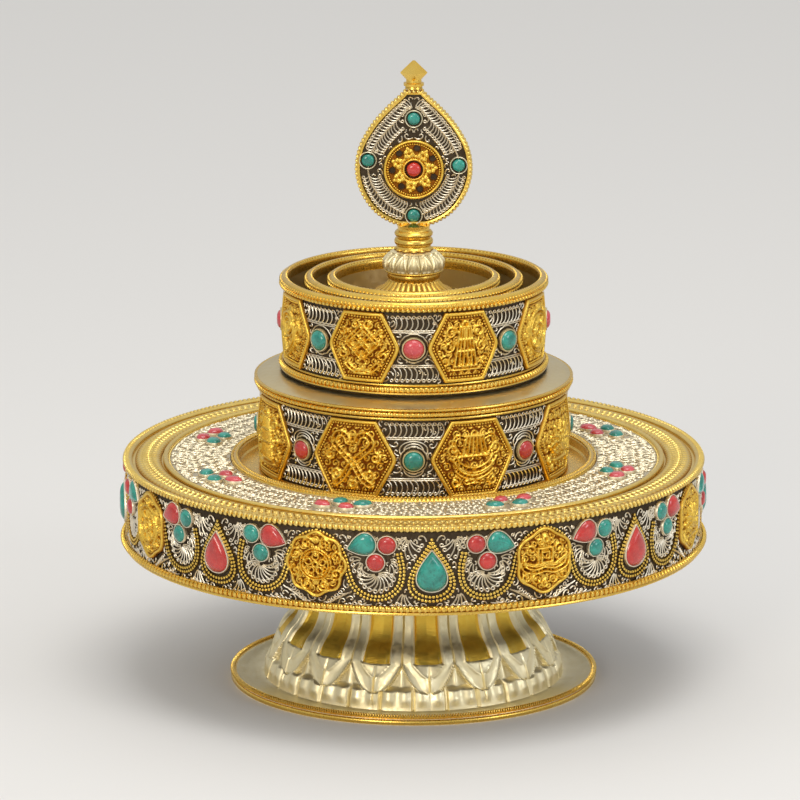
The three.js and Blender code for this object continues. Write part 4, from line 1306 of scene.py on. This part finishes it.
pan_signs = ["vase", "lotus", "conch", "wheel", "parasol", "knot", "banner", "fishes"]
ring_signs = ["banner", "wheel", "fishes", "vase", "lotus", "parasol", "conch", "knot"]
PAN_PLAQUE = (41.4, 37)
RING_PLAQUE = (35.2, 33.4)
pan_grid = plaque_grid(*PAN_PLAQUE, 92, 98)
ring_grid = plaque_grid(*RING_PLAQUE, 84, 86)
for k in range(REPEATS):
    turn = (k + 0.5) * EIGHTH
    low, high, _ = span(f"pan_plaque_{k + 1}")
    shape = plaque(pan_signs[k], pan_grid, PAN_PLAQUE[1], on_wall(72.8, turn, (low + high) / 2))
    piece(f"pan_sign_{k + 1}", shape, gilt_deep, "gilt", "pan", [f"pan_plaque_{k + 1}"], 60)
    low, high, _ = span(f"outer_ring_plaque_{k + 1}")
    shape = plaque(ring_signs[k], ring_grid, RING_PLAQUE[1], on_wall(61.3, turn, (low + high) / 2))
    piece(f"ring_sign_{k + 1}", shape, gilt_deep, "gilt", "outer_ring", [f"outer_ring_plaque_{k + 1}"], 60)

# %% [markdown]
# ## Lace on the walls
#
# The pan and the outer ring are dressed alike, with eight plaques and eight stones. The wires fill the
# gap between two plaques: a comb above and one below, each from a double rib, arches that fall over the
# stone like a fountain, one ring round its bezel, and small scrolls in what is left.


# %% Lace on the pan and the ring
def wall_lace(radius, middle, side_half, wide, tall, up, stone):
    """Wires for a wall with eight plaques and eight stones: one gap about a stone, copied eight times."""
    half = radius * EIGHTH / 2

    def off(points):
        x, y = points[..., 0], points[..., 1]
        blocked = hexagon_inset(half - np.abs(x), y - up, wide, tall) > 0.4
        blocked |= (np.abs(y) > side_half - 0.2) | (x**2 + (y - up) ** 2 < (stone / 2 + 1.1) ** 2)
        return blocked

    group = []
    ribs = ((side_half - 8.6, 22, 2.1), (8.6 - side_half, -22, -2.1))
    for level, heading, bend in ribs:
        far = np.linspace(0, half, 120)
        reach = far[~off(np.stack([far, 0 * far + level], 1))].max()
        where = np.arange(-reach - 3, reach, 2.5)
        starts = np.stack([where, 0 * where + level], 1)
        group.append(fitted(starts, np.radians(heading), np.arange(9.0, 0.8, -0.3), bend, 0.62, off))
        for shift in (-0.45, 0.45):
            line = np.linspace(-reach, reach, 15)
            group.append(np.stack([line, 0 * line + level + shift], 1)[None])
    for way in (1, -1):
        foot = up + way * (stone / 2 + 1.6)
        for n in range(5):
            arch, fall = 2.4 + 2.1 * n, 2.0 + 1.2 * n
            for last in (2.3, 2.0, 1.7, 1.4, 1.1, 0.8, 0.5):
                u = np.linspace(0.0, last, 15)
                top = foot + way * (0.3 + 1.15 * n)
                line = np.stack([arch * np.sin(u), top - way * fall * (1 - np.cos(u))], 1)[None]
                rib = ribs[0][0] if way > 0 else ribs[1][0]
                if not off(line).any() and (way * (line[..., 1] - rib) < -0.9).all():
                    group.append(fold(line))
                    break
    turn = np.radians(np.linspace(0, 354, 15))[None, :, None]
    ring = stone / 2 + 1.7
    group.append(np.concatenate([ring * np.cos(turn), up + ring * np.sin(turn)], -1))
    group.append(fillers((-half, -side_half + 0.4), (half, side_half - 0.4), 0.9, off, group, 0.78, 5))
    print("wires in one gap:", sum(len(part) for part in group))
    flat = np.concatenate(group)
    return join([wires(flat, on_wall(radius, k * EIGHTH, middle), 0.31, 0.35) for k in range(REPEATS)])


def round_stones(radius, middle, size, height, body, name, finishes):
    """Eight round stones and their bezels on a wall. The finishes give a colour for each."""
    strips = []
    for finish, slot in sorted(set(finishes), key=lambda pair: pair[0].name):
        domes = []
        for k in range(REPEATS):
            if finishes[k][0] is finish:
                surface = on_wall(radius, k * EIGHTH, middle)
                dome, strip = set_stone(oval(size, size, 28), surface, 0.2, height, 0.7, 2.0)
                domes.append(dome)
                strips.append(strip)
        piece(f"{name}_{finish.name}", join(domes), finish, slot, body)
    piece(f"{name}_bezels", join(strips), silver_sheet, "silver", body)


# %% [markdown]
# ## The pan
#
# The pan is a bowl turned upside down. Its top is plain polished silver with a soft shoulder. Under the
# shoulder run two plain gilt wires with a beaded one between them. Below them the side is darkened, with
# combs of wire along its top and bottom, and a round stone between each two plaques with arched wires
# over it.

# %% Pan
pan_base, pan_top, _ = span("pan_shell")
PAN = 72.5
wire_low, wire_high, _ = span("pan_beaded_wire")
wire_mid = (wire_low + wire_high) / 2
shoulder = smooth([(0, pan_top), (30, pan_top - 0.1), (56, pan_top - 0.5), (66, pan_top - 1.2),
                   (71.4, pan_top - 2.3),
                   (74.3, pan_top - 3.3), (74.9, pan_top - 4.0)], 6)
inside = [(74.2, pan_top - 4.6), (71.3, pan_top - 4.6), (69, pan_top - 2.6), (50, pan_top - 1.9),
          (0, pan_top - 1.4)]
piece("pan_top", turned([*shoulder, *inside], WIDE_STEPS), silver_sheet, "silver", "pan", ["pan_shell"])
pan_wall = turned([(PAN - 1.2, pan_base), (PAN, pan_base), (PAN, pan_top - 4.4),
                   (PAN - 1.2, pan_top - 4.4)], WIDE_STEPS)
piece("pan_side", pan_wall, silver_ground, "oxidised_silver", "pan")
pan_wires = [
    tube_ring(PAN + 2.2, wire_mid + 2.1, 1.0, 0.75, WIDE_STEPS, 10),
    tube_ring(PAN + 1.7, wire_mid, 1.1, 1.2, WIDE_STEPS, 10),
    tube_ring(PAN + 1.2, wire_mid - 2.2, 1.1, 0.8, WIDE_STEPS, 10),
    tube_ring(PAN + 0.5, pan_base + 1.1, 0.7, 0.9, WIDE_STEPS, 8),
    bead_ring(PAN + 2.1, wire_mid, 2.5, (1.2, 1.2, 1.25), 8, 3),
]
piece("pan_wires", join(pan_wires), gilt, "gilt", "pan", ["pan_beaded_wire"])
plaque_low, plaque_high, _ = span("pan_plaque_1")
plaque_mid = (plaque_low + plaque_high) / 2
side_low, side_high = pan_base + 2, wire_mid - 3.2
side_mid, side_half = (side_low + side_high) / 2, (side_high - side_low) / 2
lace = wall_lace(PAN, side_mid, side_half, *PAN_PLAQUE, plaque_mid - side_mid, 9.6)
piece("pan_filigree", lace, silver_wire, "silver", "pan", crease=60)
round_stones(PAN, plaque_mid, 9.0, 2.9, "pan", "pan_stones", [(turquoise, "turquoise"), (coral, "coral")] * 4)

# %% [markdown]
# ## The rings
#
# The three rings are alike: a wall of sheet with a rolled gilt rim. Only the outer one is dressed. The
# rim is one rounded section turned about the axis, with large beads under its outer edge, a smooth band,
# and finer beads along its top edge.

# %% Rings
ring_base, wall_top, ring_foot = span("outer_ring_wall")
RING = 61.0


def rim(ring):
    """A rolled rim with three rows of beads: under its outer edge, on its side and on its top."""
    low, high, out = span(f"{ring}_ring_rim")
    inner = out - 4.3
    roll = smooth([(inner, low), (inner, high - 1.5), (inner + 0.7, high - 0.4), (inner + 1.9, high - 0.1),
                   (out - 1.4, high - 0.7), (out - 0.8, high - 1.9), (out - 1.0, high - 3.0),
                   (out - 1.9, low + 0.4),
                   (inner + 1, low)], 5, True)
    rows = [
        bead_ring(out - 1.1, low + 1.3, 2.4, (1.12, 1.1, 1.25), 8, 3),
        bead_ring(out - 0.9, high - 1.9, 2.1, (0.94, 0.85, 0.95), 6, 2),
        bead_ring(inner + 0.9, high - 0.72, 2.1, (0.94, 0.8, 0.7), 6, 2),
    ]
    shape = join([turned(roll, RING_STEPS), *rows])
    piece(f"{ring}_rim", shape, gilt, "gilt", f"{ring}_ring", [f"{ring}_ring_rim"])


for ring in ("outer", "middle", "inner"):
    rim(ring)
outer_wall = turned(
    [(RING - 1.2, ring_base), (ring_foot - 0.2, ring_base), (ring_foot, ring_base + 0.4),
     (ring_foot - 0.2, ring_base + 0.9), (RING, ring_base + 0.9), (RING, wall_top), (RING - 0.3, wall_top),
     (RING - 0.3, ring_base + 1.5), (RING - 0.6, ring_base + 1.5)], RING_STEPS)
lining = [(RING - 1.2, ring_base + 0.1), (RING - 0.5, ring_base + 0.1), (RING - 0.5, wall_top),
          (RING - 1.2, wall_top)]
piece("outer_wall", outer_wall, silver_ground, "oxidised_silver", "outer_ring", ["outer_ring_wall"])
piece("outer_lining", turned(lining, RING_STEPS), silver_warm, "silver", "outer_ring")
low, high, out = span("outer_ring_beaded_wire")
ring_wire = [
    bead_ring(out - 1.45, (low + high) / 2, 2.4, (1.18, 1.4, 1.4), 8, 3),
    tube_ring(out - 2.0, (low + high) / 2, 1.0, 1.2, RING_STEPS),
    tube_ring(RING + 0.5, high + 0.5, 0.6, 0.6, RING_STEPS, 8),
    tube_ring(ring_foot - 1.2, ring_base + 0.8, 1.2, 0.8, RING_STEPS, 10),
]
piece("outer_lower_wire", join(ring_wire), gilt, "gilt", "outer_ring", ["outer_ring_beaded_wire"])
plaque_low, plaque_high, _ = span("outer_ring_plaque_1")
plaque_mid = (plaque_low + plaque_high) / 2
side_low, side_high = high + 1, wall_top - 0.3
side_mid, side_half = (side_low + side_high) / 2, (side_high - side_low) / 2
lace = wall_lace(RING, side_mid, side_half, *RING_PLAQUE, plaque_mid - side_mid, 10.4)
piece("outer_filigree", lace, silver_wire, "silver", "outer_ring", crease=60)
finishes = [(coral_pink, "coral"), (turquoise, "turquoise")] * 4
round_stones(RING, plaque_mid, 9.6, 3.2, "outer_ring", "ring_stones", finishes)
for ring, radius in (("middle", 49.2), ("inner", 38.4)):
    low, high, _ = span(f"{ring}_ring_wall")
    wall = [(radius - 1.2, low), (radius - 0.2, low), (radius, low + 0.4), (radius, high),
            (radius - 1.2, high)]
    shape = turned(wall, RING_STEPS)
    piece(f"{ring}_wall", shape, silver_warm, "silver", f"{ring}_ring", [f"{ring}_ring_wall"])

# %% [markdown]
# ## The finial
#
# The finial is turned and chased in short pieces on one rod: a fluted gilt foot, a silver bulb with lotus
# petals in a gilt cup, a gilt collar of two ribs over a scalloped skirt, the medallion, and a four-sided
# tip. The flutes and petals are waves laid on a turned profile.


# %% Finial foot, bulb, collar and tip
def waved(profile, forms, steps, recess=None):
    """A turned profile that starts and ends on the axis, moved outwards by forms(angle, height)."""
    profile = np.asarray(profile, float)
    angle = np.arange(steps)[None] * TURN / steps
    moved_out = forms(angle, profile[:, 1:]) * (profile[:, :1] > 0)
    grid = around(angle, profile[:, :1] + moved_out, profile[:, 1:])
    # Painted shade, partly tarnish: the deeper a flute or petal goes in, the more of the dark hollow colour,
    # up to 0.9.
    dirt_and_shade = np.clip(-moved_out / 0.9, 0, 1) * 0.9 if recess is None else recess(angle, profile[:, 1:])
    return poled(grid[1:-1], (0, 0, profile[0, 1]), (0, 0, profile[-1, 1]), dirt_and_shade[1:-1])


low, high, out = span("finial_pedestal")
sleeve = smooth([(out, low + 0.1), (out, low + 2), (15, low + 8), (11.4, low + 17), (10.6, low + 26),
                 (13, high)], 6)
sleeve_shape = turned([(0, low), *sleeve, (0, high)], 96)
piece("finial_sleeve", sleeve_shape, silver_warm, "silver", "finial", ["finial_pedestal"])

foot_low, foot_high, out = span("finial_foot")
FLUTES = 30
trumpet = smooth([(out, foot_low + 0.5), (17.8, foot_low + 1.2), (15.0, foot_low + 2.6),
                  (12.7, foot_low + 4.8),
                  (11.8, foot_low + 6.2)], 5)
neck = [(11.3, foot_low + 6.7), (12.3, foot_low + 7.1), (12.7, foot_low + 8.0), (12.1, foot_high),
        (0, foot_high)]


def flutes(angle, height):
    """Rounded flutes that fade out at the neck: d (|cos(n a / 2)| - 1)."""
    depth = np.interp(height, [foot_low, foot_low + 0.6, foot_low + 5.6, foot_low + 6.6], [1.2, 1.1, 0.7, 0])
    return depth * (np.abs(np.cos(FLUTES * angle / 2)) - 1)


shape = waved([(0, foot_low), (out, foot_low), *trumpet, *neck], flutes, FLUTES * 12)
piece("finial_trumpet", shape, gilt, "gilt", "finial", ["finial_foot"], 60)

BULB_PETALS = 14
bulb_low, bulb_high, out = span("finial_lotus_bulb")
body_line = smooth([(11.4, bulb_low + 0.1), (13.6, bulb_low + 0.8), (out - 0.9, bulb_low + 2.2),
                    (out - 0.6, bulb_low + 3.8), (14.2, bulb_low + 5.8), (12.6, bulb_low + 7.8),
                    (11.0, bulb_high - 1.4), (10.8, bulb_high - 0.6)], 6)


def petals(angle, height):
    """Fourteen petals, each with a raised outline, widest low down, that comes to a point at the top."""
    share = petal_share(angle, BULB_PETALS)
    rise = (height - bulb_low) / (bulb_high - bulb_low)
    edge = np.sqrt(np.clip((0.92 - rise) / 0.62, 0, 1))
    line = 0.85 * np.exp(-(((share - edge * 0.8) / 0.15) ** 2)) + 0.4 * np.exp(-((share / 0.12) ** 2))
    return (line - 0.45 - 0.5 * ease(share, 0.9, 1.0)) * ease(rise, 0.1, 0.25) * (1 - ease(rise, 0.9, 0.97))


shape = waved([(0, bulb_low), *body_line, (9.6, bulb_high), (0, bulb_high)], petals, BULB_PETALS * 20)
piece("finial_bulb", shape, silver_foot, "silver", "finial", ["finial_lotus_bulb"], 60)

low, high, out = span("finial_collar")
cup_line = smooth([(12.2, bulb_low - 0.6), (13.4, bulb_low), (14.0, bulb_low + 0.7),
                   (13.4, bulb_low + 1.2)], 4)
cup = turned([(0, bulb_low - 0.6), *cup_line, (0, bulb_low + 1.2)], 128)
ribs = smooth([(out - 0.6, low + 1.0), (out - 1.2, low + 2.0), (out - 0.3, low + 3.0), (out, low + 4.2),
               (out - 0.5, low + 5.5), (out - 1.6, low + 6.2), (out - 0.4, low + 7.0), (out - 0.1, low + 8.1),
               (out - 0.9, low + 9.2), (out - 1.6, low + 9.8), (out - 1.4, high + 1.0)], 5)
collar = turned([(0, low + 0.6), (out - 0.8, low + 0.6), *ribs, (3, high + 2.0), (0, high + 2.0)], 96)
skirt_turn = np.arange(144) * TURN / 144
scallop = out - 1.2 + 1.5 * np.abs(np.cos(skirt_turn * 6))
skirt = np.stack([
    around(skirt_turn, 6.0, low), around(skirt_turn, scallop - 0.4, low - 0.2),
    around(skirt_turn, scallop, low + 0.1),
    around(skirt_turn, scallop - 0.3, low + 0.6), around(skirt_turn, 8.2, low + 1.4),
    around(skirt_turn, 7.2, low + 1.6)])
# Painted shade, partly tarnish: a fixed share of the dark hollow colour per row, full on the two inner rows
# under the skirt and none on its top edge.
skirt_dirt_shade = np.repeat([1.0, 1.0, 0.8, 0.0, 0.2, 0.7], 144).reshape(6, 144)
shape = join([cup, collar, solid(skirt, grid_faces(6, 144, True), skirt_dirt_shade)])
piece("finial_collar_ribs", shape, gilt, "gilt", "finial", ["finial_collar"])

low, high, out = span("finial_tip")
steps = 48
angle = np.arange(steps) * TURN / steps
square = 1 / np.maximum(np.abs(np.sin(angle)) + np.abs(np.cos(angle)), 1e-6)
round_rows = [(4.2, 0), (3.9, 1.0), (4.8, 1.4), (4.8, 2.6), (3.7, 3.0), (3.6, 4.2)]
grid = [around(angle, radius, low + up) for radius, up in round_rows]
pyramid = [(4.2, low + 4.9, 0.5), (out - 0.2, low + 7.1, 1.0), (out, low + 7.6, 1.0),
           (out - 0.5, low + 8.1, 1.0),
           (0.6, high - 0.15, 1.0)]
grid += [around(angle, radius * (1 + share * (square - 1)), height) for radius, height, share in pyramid]
shape = poled(np.stack(grid), (0, 0, low), (0, 0, high))
piece("finial_point", shape, gilt, "gilt", "finial", ["finial_tip"], 30)

# %% [markdown]
# ## The medallion
#
# The medallion is worked the same on both faces. A narrow gilt band with beads on its edge frames a
# darkened field. On the field lie two feathers of wire, one each side, and four turquoises in silver
# cups.

# %% Medallion
_, medal_high, _ = span("medallion")
MEDAL = 249.4
right_side = [(3.0, -29.0), (7.5, -28.6), (12.5, -26.6), (17.5, -23.4), (22, -18.5), (25.6, -12),
              (27.6, -5), (27.8, 1),
              (26.8, 7), (24.4, 13.2), (19.2, 21.4), (12.8, 28.6), (7.4, 33.6), (4.2, medal_high - MEDAL)]
right_line = smooth(right_side, 6)
outline = spaced(np.concatenate([right_line, right_line[::-1] * [-1, 1]]), 1.0, True)
section = [(-0.6, -1.4), (-0.6, 1.4), (-1.0, 2.0), (-1.7, 2.4), (-2.4, 2.2), (-2.7, 1.5), (-2.7, -1.5),
           (-2.4, -2.2),
           (-1.7, -2.4), (-1.0, -2.0)]
stand_up = on_face(MEDAL, 1)
band = np.stack([stand_up(lifted(grown(outline, out), lift)) for out, lift in section])
band = solid(band, grid_faces(len(section), len(outline), True))
field_line = grown(outline, -2.3)
shares = np.linspace(1, 0.2, 5)[:, None, None]
front, back = (stand_up(lifted(field_line * shares, lift)) for lift in (1.4, -1.4))
field = np.concatenate([front[::-1], back])
field = poled(field, stand_up(np.array([0, 0, 1.4])), stand_up(np.array([0, 0, -1.4])))
piece("medallion_field", field, silver_ground, "oxidised_silver", "finial", ["medallion"])
both = [on_face(MEDAL, 1), on_face(MEDAL, -1)]
edge_line = grown(outline, -1.0)
rim_beads = [beads(edge_line, surface, 2.05, (1.02, 1.0, 1.05), 1.5, True, 8, 3) for surface in both]
piece("medallion_band", band, gilt, "gilt", "finial")
piece("medallion_beads", join(rim_beads), gilt_pale, "gilt", "finial")

# %% [markdown]
# ## Feathers and stones of the medallion
#
# One path runs down the right half, and barbs leave it inwards and outwards. Everything is drawn for the
# right half and mirrored, so it keeps clear of the stones of both halves, which don't stand quite alike.

# %% Medallion feathers and stones
WHEEL = 14.2
WHEEL_UP = -1.3
CUP = 4.3
medal_stones = [(0, 22.9), (-21.6, 3.0), (21.2, 0.6), (0, -23.6)]
inner_line = grown(outline, -3.0)


def off_medal(points):
    """True where a point of the right half is outside the band, or under the wheel or a stone."""
    off = ~inside_outline(points, inner_line) | (points[..., 0] < 0.3)
    off |= points[..., 0] ** 2 + (points[..., 1] - WHEEL_UP) ** 2 < (WHEEL + 0.2) ** 2
    for x, y in medal_stones:
        off |= (points[..., 0] - abs(x)) ** 2 + (points[..., 1] - y) ** 2 < (CUP + 0.5) ** 2
    return off


rib = smooth([(2.8, 28.6), (7.6, 22.6), (13.4, 16.6), (18.0, 10.4), (21.2, 3), (21.0, -5), (17.4, -12.6),
              (11.4, -18.8),
              (4.2, -23)], 8)
barbs = spaced(rib, 1.65)
ahead = unit(np.gradient(barbs, axis=0))
heading = np.arctan2(ahead[:, 1], ahead[:, 0])
reaches = np.arange(6.5, 0.7, -0.3)
feathers = [
    fitted(barbs, heading + 0.3, reaches, 1.9, 0.6, off_medal),
    fitted(barbs, heading - 0.3, reaches, -1.9, 0.6, off_medal),
    fitted(np.linspace((0.9, 27.9), (3.4, 27.2), 4), np.radians(np.linspace(86, 50, 4)), reaches, -1.2, 0.5,
           off_medal),
]
feathers.append(fillers((0.4, -27), (27, 36), 0.8, off_medal, feathers, 0.75, 9))
print("barbs and scrolls on half a face:", [len(group) for group in feathers])
feathers = fold(np.concatenate(feathers))
feather_shapes = [wires(feathers, surface, 0.3, 1.7) for surface in both]
feather_shapes += [wires(fold(rib[None]), surface, 0.4, 1.8) for surface in both]
piece("medallion_filigree", join(feather_shapes), silver_wire, "silver", "finial", crease=60)
domes = []
strips = []
for surface in both:
    for place in medal_stones:
        domes.append(cabochon(moved(oval(6, 6), place), surface, 2.0, 1.5))
        cup_section = [(3.75, 1.4), (3.75, 2.8), (4.0, 3.0), (4.2, 2.8), (CUP, 1.4)]
        cup = np.stack([surface(lifted(oval(2 * r, 2 * r) + place, up)) for r, up in cup_section])
        strips.append(solid(cup, grid_faces(5, 24, True)))
piece("medallion_stones", join(domes), turquoise, "turquoise", "finial")
piece("medallion_bezels", join(strips), silver_bright, "silver", "finial")

# %% [markdown]
# ## The wheel
#
# The wheel in the medallion's middle has seven lobed petals round a hub of coral, with seven holes between
# them, and a plain rim with a fine line of beads inside it. The holes and a moat round the hub are dips
# about 1.5 mm deep, painted fully dark: painted shade, so that they read as deep. Its grid is polar, and
# every form is a smooth bump of the distance from a centre that is repeated seven times.

# %% Wheel
SPOKES = 7
SEVENTH = TURN / SPOKES
PETAL_TURN = np.radians(4)
t = np.arange(RING_STEPS) * TURN / RING_STEPS
radius = np.concatenate([np.linspace(0.6, 3.4, 4), np.linspace(3.6, WHEEL - 0.15, 44), [WHEEL]])[:, None]


def bump(out, first, long, wide, power=2.0):
    """A bump of height one at a radius, repeated seven times: (1 - (dr / l)^2 - (side / w)^2)^(1 / power)."""
    beside = radius * ((t - first + SEVENTH / 2) % SEVENTH - SEVENTH / 2)
    return np.clip(1 - ((radius - out) / long) ** 2 - (beside / wide) ** 2, 0, 1) ** (1 / power)


rim_band = 1.5 * np.clip(1 - ((radius - 13.55) / 0.8) ** 2, 0, 1) ** 0.5 + 0 * t
hub = 0.9 * np.clip(1 - ((radius - 4.75) / 0.6) ** 2, 0, 1) ** 0.5 + 0 * t
lobes = [bump(7.1, PETAL_TURN + side * 0.21, 1.7, 1.45) * 1.4 for side in (-1, 1)]
lobes += [bump(9.0, PETAL_TURN + side * 0.14, 1.4, 1.4) * 1.7 for side in (-1, 1)]
lobes += [bump(out, PETAL_TURN, 1.3, 1.1) * 1.2 for out in (6.4, 10.4)]
between = bump(6.3, PETAL_TURN + SEVENTH / 2, 0.8, 1.0) * 0.9
relief = np.maximum.reduce([rim_band, hub, *lobes, between])
holes = bump(10.2, PETAL_TURN + SEVENTH / 2, 1.7, 1.7, 4.0)
moat = ease(radius, 3.3, 3.5) * (1 - ease(radius, 4.1, 4.3)) + 0 * t
holes = np.maximum(holes, moat)
height = 2.4 + relief - 1.5 * holes
# Painted shade, partly tarnish: the low ground between the forms takes 0.95 of the dark hollow colour, the
# dips for the holes and the moat take all of it, and the outer edge 0.2.
hollow = np.maximum(0.95 * (1 - ease(relief, 0.05, 0.5)), holes)
hollow = np.where(radius > WHEEL - 0.1, 0.2, hollow)
wheel_parts = []
for surface in both:
    flat = np.stack([radius * np.cos(t), WHEEL_UP + radius * np.sin(t)], -1)
    grid = surface(np.concatenate([flat, height[..., None]], -1))
    skirt = surface(lifted(flat[-1:], 0.2))
    ends = surface(np.array([[0, WHEEL_UP, height[0].mean()], [0, WHEEL_UP, 0.2]]))
    wheel_parts.append(poled(np.concatenate([grid, skirt]), *ends, np.concatenate([hollow, hollow[-1:]])))
    circle = oval(2 * 12.25, 2 * 12.25, 96) + (0, WHEEL_UP)
    wheel_parts.append(beads(circle, surface, 1.1, (0.54, 0.56, 0.6), 3.0, True, 6, 2))
piece("wheel", join(wheel_parts), gilt_deep, "gilt", "finial", ["dharma_wheel"], 60)
hubs = [cabochon(moved(oval(6.8, 6.8), (0, WHEEL_UP)), surface, 2.6, 2.0) for surface in both]
piece("wheel_coral", join(hubs), coral, "coral", "finial")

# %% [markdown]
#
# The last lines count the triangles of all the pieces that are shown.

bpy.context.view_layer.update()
shown = [item for item in bpy.data.objects if item.type == "MESH" and not item.hide_render]
triangles = sum(len(item.data.polygons) for item in shown)
print("triangles shown:", triangles)
